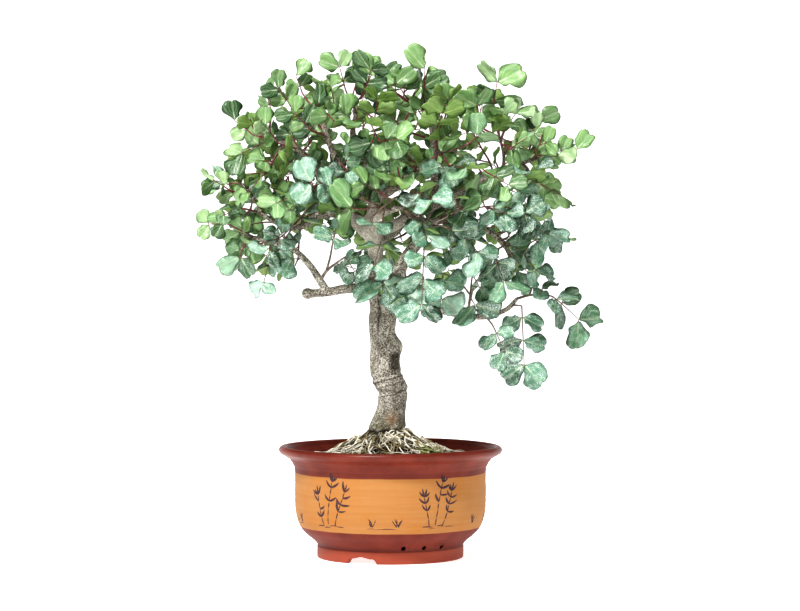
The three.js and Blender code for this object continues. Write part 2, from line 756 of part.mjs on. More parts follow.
// Wood.
// The trunk is not round: it leans out in a burl on the right, a ridge runs down the left, and
// two creases wind round it below the middle.
function trunkOutline(p, angle) {
  const bump = (z, reach, at, spread, height) => {
    const turn = Math.atan2(Math.sin(angle - rad(at)), Math.cos(angle - rad(at)));
    return height * Math.exp(-(((p.z - z) / reach) ** 2) - (turn / rad(spread)) ** 2);
  };
  const burl = bump(237, 10, 180, 55, 0.22);
  const ridge = bump(262, 34, 0, 40, 0.12);
  const hollow = bump(220, 9, 205, 30, -0.16);
  const ripple = 0.035 * Math.sin(3 * angle + p.z / 17) + 0.03 * Math.sin(2 * angle - p.z / 11);
  const crease = -0.07 * Math.exp(-(((p.z - 192 - 5 * Math.cos(angle)) / 5) ** 2));
  return 1 + burl + ridge + hollow + ripple + crease;
}

function moundHeight(r) {
  const share = Math.min(1, Math.max(0, (r - 14) / (SOIL.moundRadius - 14)));
  return SOIL.level + (SOIL.moundTop - SOIL.level) * (1 - share) ** 1.15;
}

function rootLine([azimuth, reach, radius], index) {
  const points = [];
  const steps = 4;
  for (let k = 0; k <= steps; k += 1) {
    const t = k / steps;
    const r = 8 + (reach - 8) * t;
    const turn = rad(azimuth) + 0.22 * Math.sin(3.2 * t + index * 1.7);
    const sink = k === steps ? -2.6 : -0.3;
    const lift = 9 * (1 - t) ** 3;
    const z = moundHeight(r) + lift + sink;
    points.push(vec(-3 + r * Math.sin(turn), -r * Math.cos(turn), z));
  }
  return { points, radiusAt: (k) => radius * (1.25 - 0.8 * (k / steps)) };
}

function woodSolid(limbLines, extra) {
  const trunk = smoothLine(TRUNK, 2);
  const trunkLine = lengthened(trunk.map((q) => q.p), extra);
  const trunkTube = tube(trunkLine, (i) => trunk[i].r + extra, 10, trunkOutline);
  const parts = [solidOf(trunkTube)];
  for (const line of Object.values(limbLines)) {
    const thinned = line.filter((_, i) => i % LIMB_STEPS === 0);
    const points = lengthened(thinned.map((q) => q.p), extra);
    parts.push(solidOf(tube(points, (i) => thinned[i].r + extra, 5)));
  }
  const knot = new THREE.SphereGeometry(15 + extra, 9, 6).scale(1.05, 0.85, 0.8).translate(-22, 1, 367);
  const cut = new THREE.SphereGeometry(6.5 + extra, 7, 5).translate(9, -1, 281);
  parts.push(solidOf(knot), solidOf(cut));
  ROOTS.forEach((row, i) => {
    const { points, radiusAt } = rootLine(row, i);
    parts.push(solidOf(tube(lengthened(points, extra), (k) => radiusAt(k) + extra, 4)));
  });
  return joined(parts);
}

// Pot, soil and drain mesh.
function latheSolid(profile, sides) {
  const outline = profile.map(([r, z]) => new THREE.Vector2(r, z));
  return solidOf(new THREE.LatheGeometry(outline, sides).rotateX(Math.PI / 2));
}

// The outside of the bowl, from the foot up to the neck below the rim.
const BOWL = [
  [81.6, 15],
  [84.5, 19],
  [95.6, 28.5],
  [101.3, 36],
  [105.5, 49],
  [106.8, 63],
  [106.8, 96],
  [108.6, 104],
  [113, 111],
];

function innerWall(inset) {
  const { wall } = POT;
  return [
    [76, POT.floor + inset],
    [91 - inset, 29],
    [BOWL[4][0] - wall - inset, 51],
    [BOWL[6][0] - wall - inset, 96],
    [109 - inset, SOIL.level],
  ];
}

function archShape(width, height) {
  const shape = new THREE.Shape();
  const half = width / 2;
  shape.moveTo(-half, -2);
  shape.lineTo(-half, 1.5);
  shape.quadraticCurveTo(-half, height * 0.7, -half * 0.62, height * 0.7);
  shape.quadraticCurveTo(-half * 0.3, height * 1.05, 0, height);
  shape.quadraticCurveTo(half * 0.3, height * 1.05, half * 0.62, height * 0.7);
  shape.quadraticCurveTo(half, height * 0.7, half, 1.5);
  shape.lineTo(half, -2);
  shape.closePath();
  return shape;
}

function makePot() {
  const { rimRadius, height, lipRadius: roll, footRadius: foot, footHeight, footWidth, recess } = POT;
  const lip = [-50, 0, 50, 95, 140, 180].map((angle) => [
    rimRadius - roll + roll * Math.cos(rad(angle)),
    height - roll + roll * Math.sin(rad(angle)),
  ]);
  const inside = innerWall(0).reverse();
  const profile = [
    [DRAIN.radius, recess],
    [foot - footWidth, recess],
    [foot - footWidth + 1, 0],
    [foot - 1.9, 0],
    [foot, 2],
    [foot, footHeight - 1],
    ...BOWL,
    ...lip,
    ...inside,
    [DRAIN.radius, POT.floor],
  ];
  profile.push(profile[0]);
  let pot = latheSolid(profile, POT.sides);
  for (let i = 0; i < FEET.count; i += 1) {
    const arch = new THREE.ExtrudeGeometry(archShape(FEET.gapWidth, FEET.gapHeight), {
      depth: 2 * footWidth + 6,
      bevelEnabled: false,
      curveSegments: 2,
    });
    arch.rotateX(Math.PI / 2).translate(0, -(foot - 1.7 * footWidth), 0);
    arch.rotateZ(rad(FEET.firstGap + (360 / FEET.count) * i));
    pot = pot.subtract(solidOf(arch));
  }
  for (const azimuth of SIDE_HOLES.azimuths) {
    const hole = new THREE.CylinderGeometry(SIDE_HOLES.radius, SIDE_HOLES.radius, 24, 8);
    hole.translate(0, -84, SIDE_HOLES.height).rotateZ(rad(azimuth));
    pot = pot.subtract(solidOf(hole));
  }
  return geometryFrom(pot);
}

function makeSoil(woodRoom) {
  const inside = innerWall(GAP);
  const top = inside[inside.length - 1];
  const profile = [[0, POT.floor + GAP], ...inside];
  profile[profile.length - 1] = [top[0], SOIL.level];
  for (const r of [SOIL.moundRadius, 52, 32, 14]) profile.push([r, moundHeight(r)]);
  profile.push([0, SOIL.moundTop]);
  const roomSide = DRAIN.meshSide + 2 * GAP;
  const meshRoom = new THREE.BoxGeometry(roomSide, roomSide, DRAIN.meshThickness + 2 * GAP);
  meshRoom.translate(0, 0, POT.floor + GAP + DRAIN.meshThickness / 2);
  const soil = latheSolid(profile, POT.sides).subtract(solidOf(meshRoom)).subtract(woodRoom);
  return geometryFrom(largestPiece(soil));
}

function makeDrainMesh() {
  const { meshSide, holes, bar, meshThickness } = DRAIN;
  const pitch = (meshSide - bar) / holes;
  let plate = solidOf(new THREE.BoxGeometry(meshSide, meshSide, meshThickness));
  for (let i = 0; i < holes; i += 1) {
    for (let j = 0; j < holes; j += 1) {
      const hole = new THREE.BoxGeometry(pitch - bar, pitch - bar, 3 * meshThickness);
      hole.translate((i - (holes - 1) / 2) * pitch, (j - (holes - 1) / 2) * pitch, 0);
      plate = plate.subtract(solidOf(hole));
    }
  }
  return geometryFrom(plate).translate(0, 0, POT.floor + GAP + meshThickness / 2);
}

// Sprays.
function spraySolid(shoots, woodRoom) {
  const parts = [];
  for (const { line, r, leaves } of shoots) {
    const last = line.length - 1;
    parts.push(solidOf(tube(lengthened(line, 0, BUD), (i) => r + (1.1 - r) * (i / last), 3)));
    const grown = leaves.filter((leaf, i) => i === 0 || leaf.stations.length > 1);
    for (const leaf of grown) parts.push(solidOf(leafGeometry(leaf)));
  }
  return largestPiece(joined(parts).subtract(woodRoom));
}

// The tree in its pot.
const COLOURS = {
  clay: { color: 0x9a4a3c, roughness: 0.55 },
  earth: { color: 0x2b211b, roughness: 1 },
  plastic: { color: 0x22262a, roughness: 0.6 },
  bark: { color: 0xa8997f, roughness: 0.95 },
  freshLeaf: { color: 0x86b355, roughness: 0.5 },
  oldLeaf: { color: 0x5d9a7c, roughness: 0.6 },
};

function named(name, geometry, look) {
  const material = new THREE.MeshStandardMaterial({ ...look, metalness: 0 });
  const mesh = new THREE.Mesh(geometry, material);
  mesh.name = name;
  return mesh;
}

function makeTree() {
  const draw = makeDraws(SEED);
  const room = new Room(LEAF_CELL);
  const limbLines = {};
  for (const [name, rows] of Object.entries(LIMBS)) {
    limbLines[name] = smoothLine(rows.map(([x, y, z, r]) => [x, y, z, r * LIMB_SLIMMING]), LIMB_STEPS);
  }
  const { shoots, skeleton } = growShoots(limbLines, draw, room);
  for (const shoot of shoots) growLeaves(shoot, draw, room);
  growYoung(shoots, skeleton, draw, room);
  const leafy = shoots.filter(isLeafy);

  const wood = woodSolid(limbLines, 0);
  const woodRoom = woodSolid(limbLines, GAP);
  const tree = new THREE.Group();
  tree.add(named('pot', makePot(), COLOURS.clay));
  tree.add(named('drain_mesh', makeDrainMesh(), COLOURS.plastic));
  tree.add(named('soil', makeSoil(woodRoom), COLOURS.earth));
  tree.add(named('trunk_and_limbs', geometryFrom(wood), COLOURS.bark));

  for (const node of new Set(leafy.map((shoot) => shoot.node))) {
    const own = leafy.filter((shoot) => shoot.node === node);
    const isFresh = /crown|back|left/.test(node);
    const solid = spraySolid(own, woodRoom);
    tree.add(named(`spray_${node}`, geometryFrom(solid), isFresh ? COLOURS.freshLeaf : COLOURS.oldLeaf));
  }
  // The origin lies on the ground under the middle of the whole.
  const box = new THREE.Box3().setFromObject(tree);
  tree.position.set(-(box.min.x + box.max.x) / 2, -(box.min.y + box.max.y) / 2, -box.min.z);
  return tree;
}

export default makeTree();
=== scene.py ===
# %% [markdown]
# # A carob bonsai in a round clay pot
#
# The object is a tree, about 57 cm high with its pot. A short trunk carries a wide crown of paired,
# rounded leaflets, and wiry roots run over a mound of dark soil. The pot is red-brown clay with a
# band of yellow slip.
#
# The solids of the CAD part are the frame, and this script puts finer pieces in their places.

# %% Load the frame
import json
import math
from collections import namedtuple

import bmesh
import bpy
import numpy as np
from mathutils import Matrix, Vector

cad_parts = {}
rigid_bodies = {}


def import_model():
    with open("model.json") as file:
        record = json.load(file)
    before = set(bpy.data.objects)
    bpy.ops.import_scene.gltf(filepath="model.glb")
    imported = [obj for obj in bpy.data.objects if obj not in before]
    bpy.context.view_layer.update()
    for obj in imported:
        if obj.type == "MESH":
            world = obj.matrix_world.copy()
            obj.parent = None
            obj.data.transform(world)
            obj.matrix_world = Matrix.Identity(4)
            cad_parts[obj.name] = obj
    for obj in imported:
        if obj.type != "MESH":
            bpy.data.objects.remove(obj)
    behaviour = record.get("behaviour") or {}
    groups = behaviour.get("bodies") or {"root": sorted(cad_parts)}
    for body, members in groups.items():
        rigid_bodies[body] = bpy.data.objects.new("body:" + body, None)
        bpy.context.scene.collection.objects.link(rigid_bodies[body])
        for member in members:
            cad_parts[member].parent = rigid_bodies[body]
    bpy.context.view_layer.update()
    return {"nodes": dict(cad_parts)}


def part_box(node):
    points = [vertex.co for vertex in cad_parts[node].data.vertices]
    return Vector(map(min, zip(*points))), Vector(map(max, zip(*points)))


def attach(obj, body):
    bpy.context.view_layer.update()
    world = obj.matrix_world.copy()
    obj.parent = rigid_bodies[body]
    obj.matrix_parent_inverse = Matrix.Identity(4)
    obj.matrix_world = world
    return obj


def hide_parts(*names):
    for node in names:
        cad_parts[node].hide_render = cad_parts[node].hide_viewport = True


for leftover in list(bpy.data.objects):
    bpy.data.objects.remove(leftover)
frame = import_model()

# %% [markdown]
# The tree was drawn in millimetres around the middle of the pot. Blender works in metres, and the
# frame has its origin under the middle of the whole tree, so one function takes every point there.
# A mesh is made from points in millimetres, and its points can be read back and moved.

# %% Meshes from millimetres
pot_low, pot_high = (np.array(corner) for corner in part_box("pot"))
POT_CENTRE = np.array([(pot_low[0] + pot_high[0]) / 2, (pot_low[1] + pot_high[1]) / 2, 0.0])
MM = 0.001


def in_metres(points):
    return np.asarray(points, float) * MM + POT_CENTRE


def piece(name, mesh):
    made = bpy.data.objects.new(name, mesh)
    bpy.context.scene.collection.objects.link(made)
    return made


def skin(name, points, faces, edges=()):
    mesh = bpy.data.meshes.new(name)
    mesh.from_pydata(in_metres(points).tolist(), edges, faces)
    return piece(name, mesh)


def points_of(thing):
    co = np.empty(len(thing.data.vertices) * 3)
    thing.data.vertices.foreach_get("co", co)
    return (co.reshape(-1, 3) - POT_CENTRE) / MM


def move_points(thing, points):
    thing.data.vertices.foreach_set("co", in_metres(points).ravel())


def ring_faces(rings, sides):
    """Faces that join rings of points, each to the next."""
    faces = []
    for first in range(0, (rings - 1) * sides, sides):
        for k in range(sides):
            a, b = first + k, first + (k + 1) % sides
            faces.append((a, b, b + sides, a + sides))
    return faces


def triangles(thing):
    return sum(len(face.vertices) - 2 for face in thing.data.polygons)


print("pot centre", POT_CENTRE.round(5))

# %% [markdown]
# Formulas in a node tree are easier to read as formulas. `Value` wraps a socket and turns each
# `+` or `*` into a Math node. `Wires` adds any other node: its type, the values or links of its
# sockets, and its settings. Both serve shader trees and geometry trees alike.

# %% Formulas on sockets
OPERATIONS = {
    "ADD": ("__add__", "__radd__"), "SUBTRACT": ("__sub__",), "MULTIPLY": ("__mul__", "__rmul__"),
    "DIVIDE": ("__truediv__",), "POWER": ("__pow__",), "ABSOLUTE": ("__abs__",), "SINE": ("sin",),
    "COSINE": ("cos",), "MINIMUM": ("least",), "MAXIMUM": ("most",), "GREATER_THAN": ("above",),
}


class Value:
    def __init__(self, wires, socket):
        self.wires = wires
        self.socket = socket

    def math(self, operation, *others):
        return self.wires.add("ShaderNodeMath", dict(enumerate((self, *others))), operation=operation)

    def __rsub__(self, other):
        return self.math("MULTIPLY_ADD", -1.0, other)

    def ramp(self, start, end):
        """A smooth step from 0 to 1 as this value goes from start to end."""
        sockets = {0: self, 1: start, 2: end}
        return self.wires.add("ShaderNodeMapRange", sockets, interpolation_type="SMOOTHSTEP")

    def output(self, name):
        return Value(self.wires, self.socket.node.outputs[name])


def method(operation):
    return lambda first, *others: first.math(operation, *others)


for operation, names in OPERATIONS.items():
    for name in names:
        setattr(Value, name, method(operation))


class Wires:
    def __init__(self, tree):
        self.tree = tree

    def plug(self, socket, value):
        if isinstance(value, Value):
            self.tree.links.new(value.socket, socket)
        else:
            socket.default_value = value

    def add(self, kind, sockets=None, output=0, **settings):
        node = self.tree.nodes.new(kind)
        for name, setting in settings.items():
            setattr(node, name, setting)
        for name, value in (sockets or {}).items():
            self.plug(node.inputs[name], value)
        return Value(self, node.outputs[output])


print(len(OPERATIONS), "kinds of formula ready")

# %% [markdown]
# Colours are written as they look on a screen. Blender's shaders want linear light, so a helper
# turns one into the other. A paint is built like real paint: a base colour with coats over it.

# %% Colours and paints
def colour(code):
    parts = [int(code[i : i + 2], 16) / 255 for i in (1, 3, 5)]
    linear = [c / 12.92 if c <= 0.04045 else ((c + 0.055) / 1.055) ** 2.4 for c in parts]
    return (*linear, 1.0)


class Paint(Wires):
    """The node tree of one material, around its Principled shader."""

    def __init__(self, name, roughness, specular):
        self.material = bpy.data.materials.new(name)
        self.material.use_nodes = True
        super().__init__(self.material.node_tree)
        self.shader = self.tree.nodes["Principled BSDF"]
        self.set("Roughness", roughness)
        self.set("Specular IOR Level", specular)

    def set(self, name, value):
        self.plug(self.shader.inputs[name], value)

    def place(self):
        return self.add("ShaderNodeTexCoord", output="Object")

    def axes(self):
        split = self.add("ShaderNodeSeparateXYZ", {0: self.place()})
        return split, split.output("Y"), split.output("Z")

    def attribute(self, name):
        return self.add("ShaderNodeAttribute", output="Fac", attribute_name=name)

    def noise(self, scale, detail=3.0, roughness=0.55, place=None):
        sockets = {"Vector": place or self.place(), "Scale": scale}
        return self.add("ShaderNodeTexNoise", {**sockets, "Detail": detail, "Roughness": roughness})

    def mix(self, share, first, second):
        """From the first colour to the second as share goes from 0 to 1."""
        first, second = (colour(c) if isinstance(c, str) else c for c in (first, second))
        return self.add("ShaderNodeMix", {0: share, 6: first, 7: second}, 2, data_type="RGBA")

    def coated(self, base, *coats):
        """The base with coats over it, each a share and a colour."""
        for share, tint in coats:
            base = self.mix(share, base, tint)
        return base

    def bump(self, height, distance, strength):
        sockets = {"Height": height, "Distance": distance, "Strength": strength}
        self.set("Normal", self.add("ShaderNodeBump", sockets))

    def spot(self, centre, reach):
        """1 at a place in millimetres, falling to 0 at its reach."""
        sockets = {0: self.place(), 1: tuple(in_metres(centre))}
        gap = self.add("ShaderNodeVectorMath", sockets, "Value", operation="DISTANCE")
        return 1 - gap.ramp(reach * MM * 0.35, reach * MM)


def painted(thing, paint):
    thing.data.materials.clear()
    thing.data.materials.append(paint.material)
    return thing


print("white is", colour("#ffffff"))

# %% [markdown]
# Geometry Nodes make what repeats: leaflets, twigs, rootlets, grit, moss. A tree gets named inputs,
# and a finished tree is applied to a bare mesh of points and lines. The result is kept as a plain
# mesh and the modifier is taken away.

# %% Geometry trees
class Recipe(Wires):
    """A geometry tree with named inputs."""

    SOCKETS = {float: "NodeSocketFloat", int: "NodeSocketInt"}

    def __init__(self, name, paint, **inputs):
        super().__init__(bpy.data.node_groups.new(name, "GeometryNodeTree"))
        self.material = paint.material
        self.keys = {}
        face = self.tree.interface
        for way in ("INPUT", "OUTPUT"):
            face.new_socket("Geometry", in_out=way, socket_type="NodeSocketGeometry")
        for label, value in inputs.items():
            kind = self.SOCKETS[type(value)]
            item = face.new_socket(label.replace("_", " "), in_out="INPUT", socket_type=kind)
            item.default_value = value
            self.keys[label] = item.identifier
        self.entry = self.add("NodeGroupInput")

    def input(self, label):
        return self.entry.output(label.replace("_", " "))

    def named(self, name, kind="FLOAT"):
        return self.add("GeometryNodeInputNamedAttribute", {"Name": name}, data_type=kind)

    def store(self, geometry, name, value, domain="POINT"):
        sockets = {"Geometry": geometry, "Name": name, "Value": value}
        return self.add("GeometryNodeStoreNamedAttribute", sockets, data_type="FLOAT", domain=domain)

    def xyz(self, x, y, z):
        return self.add("ShaderNodeCombineXYZ", {0: x, 1: y, 2: z})

    def scaled(self, vector, factor):
        return self.add("ShaderNodeVectorMath", {0: vector, "Scale": factor}, operation="SCALE")

    def moved(self, geometry, offset):
        return self.add("GeometryNodeSetPosition", {"Geometry": geometry, "Offset": offset})

    def joined(self, *parts):
        join = self.add("GeometryNodeJoinGeometry", {0: parts[0]})
        for part in parts[1:]:
            self.plug(join.socket.node.inputs[0], part)
        return join

    def chance(self, low, high, seed):
        """A number between low and high for each point."""
        sockets = {2: low, 3: high, 8: seed}
        return self.add("FunctionNodeRandomValue", sockets, 1, data_type="FLOAT")

    def turns(self, low, high):
        """Three angles between low and high for each point."""
        return self.add("FunctionNodeRandomValue", {0: low, 1: high}, data_type="FLOAT_VECTOR")

    def copies(self, points, shape, rotation, scale):
        sockets = {"Points": points, "Instance": shape, "Rotation": rotation, "Scale": scale}
        return self.add("GeometryNodeInstanceOnPoints", sockets)

    def strewn(self, density, seed, slope):
        """Points strewn over the faces that look up, where the normal's z is above slope."""
        up = self.add("ShaderNodeSeparateXYZ", {0: self.add("GeometryNodeInputNormal")}, "Z")
        sockets = {"Mesh": self.entry, "Selection": up.above(slope), "Density": density, "Seed": seed}
        return self.add("GeometryNodeDistributePointsOnFaces", sockets)

    def round_tubes(self, lines, sides):
        curve = self.add("GeometryNodeMeshToCurve", {"Mesh": lines})
        ring = self.add("GeometryNodeCurvePrimitiveCircle", {"Resolution": sides, "Radius": 1.0})
        sockets = {"Curve": curve, "Profile Curve": ring, "Scale": self.named("radius")}
        return self.add("GeometryNodeCurveToMesh", {**sockets, "Fill Caps": True})

    def finish(self, geometry):
        real = self.add("GeometryNodeRealizeInstances", {"Geometry": geometry})
        smooth = self.add("GeometryNodeSetShadeSmooth", {"Geometry": real})
        sockets = {"Geometry": smooth, "Material": self.material}
        made = self.add("GeometryNodeSetMaterial", sockets)
        self.plug(self.tree.nodes.new("NodeGroupOutput").inputs[0], made)


def plain(source):
    """The object's evaluated mesh in its own object, without modifiers."""
    graph = bpy.context.evaluated_depsgraph_get()
    shape = source.evaluated_get(graph)
    mesh = bpy.data.meshes.new_from_object(shape, preserve_all_data_layers=True, depsgraph=graph)
    name = source.name
    bpy.data.objects.remove(source)
    mesh.name = name
    return piece(name, mesh)


def cooked(source, recipe, **values):
    """The plain result of a recipe on an object's bare mesh."""
    modifier = source.modifiers.new("recipe", "NODES")
    modifier.node_group = recipe.tree
    for label, value in values.items():
        modifier[recipe.keys[label]] = value
    return plain(source)


def lines_mesh(name, lines, loose=(), **marks):
    """A bare mesh of lines of points, and loose points after them. A mark is a number or a vector
    for every point, kept under its name."""
    points = [p for line in lines for p in line] + list(loose)
    edges = []
    start = 0
    for line in lines:
        edges += [(i, i + 1) for i in range(start, start + len(line) - 1)]
        start += len(line)
    bare = skin(name, points, [], edges)
    for label, values in marks.items():
        values = np.asarray(values, float)
        kind, key = ("FLOAT", "value") if values.ndim == 1 else ("FLOAT_VECTOR", "vector")
        bare.data.attributes.new(label, kind, "POINT").data.foreach_set(key, values.ravel())
    return bare


def tube_recipe(name, paint):
    """A recipe for round tubes along lines that carry their radius."""
    recipe = Recipe(name, paint, Sides=6)
    recipe.finish(recipe.round_tubes(recipe.entry, recipe.input("Sides")))
    return recipe


def tubes_of(name, rows_list, recipe, sides, **marks):
    """Tubes along rows of x, y, z and radius in millimetres, in one mesh."""
    radius = np.concatenate([rows[:, 3] for rows in rows_list]) * MM
    bare = lines_mesh(name, [rows[:, :3] for rows in rows_list], radius=radius, **marks)
    return cooked(bare, recipe, Sides=sides)


def dress(thing, slot, *nodes):
    """Fix a finished piece to the frame's root body, and hide the solids it stands for. The slot is
    not used.
    """
    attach(thing, "root")
    if nodes:
        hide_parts(*nodes)
    return thing


print("recipes ready")

# %% [markdown]
# ## How the tree grows
#
# A real crown is too dense to place leaf by leaf, so it grows by a rule. The trunk and the limbs
# are drawn as rows of x, y, z and radius. Each shoot has a tip, and leaves the nearest wood that
# points its way. Its leaves turn on round the shoot until they find room. The same rule made the
# solids, so each finer spray lies on its solid.

# %% The wood and the shoots, in millimetres
TRUNK = [
    (-3, 0, 118, 17), (-3, 0, 135, 21), (-3, 0, 143, 22), (-2, 0, 153, 19.3), (1, 0, 168, 16.2),
    (2, 0, 185, 16.4), (-2, 0, 196, 18), (-6, 1, 214, 17), (-5, 1, 236, 16), (-8, 1, 252, 13.4),
    (-8, 1, 268, 14.2), (-8, 1, 284, 12), (-10, 1, 294, 7),
]
LIMBS = {
    "left_stem": [
        (-12, 4, 246, 8), (-17, 4, 277, 7.5), (-18, 4, 310, 9), (-17, 3, 343, 11), (-22, 0, 368, 13),
    ],
    "right_stem": [
        (-3, -2, 250, 10), (-3, -2, 277, 10.5), (2, -3, 300, 9.5), (8, -2, 316, 9), (20, 2, 338, 8.5),
        (38, 6, 362, 8), (50, 8, 388, 7), (50, 10, 412, 6), (48, 10, 440, 5), (47, 6, 474, 4),
        (38, 2, 498, 3),
    ],
    "left_upright": [
        (-34, 0, 368, 8), (-45, -8, 382, 7), (-46, -12, 400, 6.5), (-52, -15, 427, 6),
        (-62, -18, 449, 5), (-70, -20, 468, 4), (-76, -20, 490, 3),
    ],
    "middle_upright": [
        (-22, 2, 372, 8), (-20, 10, 393, 7), (-17, 14, 416, 6.5), (-25, 14, 434, 6),
        (-37, 10, 451, 5.2), (-42, 5, 475, 4.2), (-38, -2, 496, 3),
    ],
    "inner_right": [
        (-25, -5, 376, 7), (-13, -14, 400, 6.5), (0, -22, 409, 6), (14, -28, 420, 5),
        (30, -30, 430, 4), (50, -34, 442, 3),
    ],
    "right_limb": [
        (-20, -3, 369, 9), (0, -6, 369, 8), (17, -8, 378, 7.5), (32, -8, 385, 7), (56, -8, 396, 6.2),
        (84, -6, 410, 5.4), (118, -4, 428, 4.4), (146, -4, 440, 3.6), (168, -4, 447, 2.8),
    ],
    "right_drooping": [
        (44, 6, 376, 6), (62, 0, 378, 5.5), (84, -10, 374, 5), (110, -20, 364, 4.2),
        (128, -25, 346, 3.5), (140, -28, 330, 2.8),
    ],
    "low_right": [
        (4, -4, 296, 7), (18, -10, 288, 6.5), (42, -20, 281, 5.6), (73, -30, 273, 4.8),
        (104, -38, 270, 4), (128, -40, 278, 3.2), (140, -38, 290, 2.6),
    ],
    "low_left": [
        (-18, 2, 306, 8), (-34, -4, 302, 7), (-52, -9, 300, 6.5), (-72, -12, 296, 6),
        (-89, -14, 295, 5.6),
    ],
    "low_left_rising": [
        (-70, -12, 297, 5.5), (-78, -14, 309, 5), (-87, -16, 323, 4.6), (-100, -20, 338, 4.2),
        (-114, -24, 348, 3.8), (-134, -26, 352, 3.2), (-152, -26, 358, 2.6),
    ],
    "left_level": [
        (-28, -2, 372, 8), (-44, -4, 380, 7), (-60, -8, 384, 6.2), (-80, -12, 382, 5.6),
        (-93, -16, 372, 5), (-108, -20, 368, 4.4), (-126, -22, 374, 3.6), (-144, -20, 384, 2.8),
    ],
    "left_upper": [
        (-47, -11, 398, 5.5), (-62, -16, 408, 5), (-76, -18, 421, 4.6), (-84, -18, 436, 4.2),
        (-95, -20, 449, 4), (-110, -20, 460, 3.6), (-128, -18, 467, 3), (-146, -16, 473, 2.4),
    ],
    "left_middle": [
        (-45, -6, 392, 5), (-62, 6, 402, 4.6), (-80, 12, 410, 4.2), (-104, 16, 408, 3.8),
        (-130, 14, 402, 3.2), (-154, 8, 404, 2.6),
    ],
    "back_left": [
        (-26, 6, 372, 7), (-46, 32, 386, 6), (-74, 62, 402, 5), (-104, 84, 424, 4), (-122, 92, 444, 3),
    ],
    "back_right": [
        (42, 10, 370, 6.5), (58, 38, 386, 5.6), (84, 66, 402, 4.8), (112, 84, 420, 3.8),
        (130, 90, 440, 2.8),
    ],
    "back_middle": [
        (-18, 16, 416, 5.5), (-12, 44, 436, 4.8), (-2, 72, 458, 4), (6, 88, 478, 3),
    ],
    "back_low": [
        (-16, 8, 346, 7), (-8, 38, 356, 5.8), (6, 72, 362, 4.6), (14, 98, 372, 3.4),
    ],
    "front_middle": [
        (-20, -8, 372, 6.5), (-12, -30, 382, 5.6), (2, -52, 388, 4.6), (14, -68, 390, 3.4),
    ],
}
ROOTS = [
    (-78, 62, 4.6), (-42, 54, 3.8), (-8, 58, 4.4), (24, 50, 3.6), (62, 66, 4.6), (104, 56, 4),
    (150, 60, 4.4), (196, 54, 3.8), (236, 62, 4.2),
]
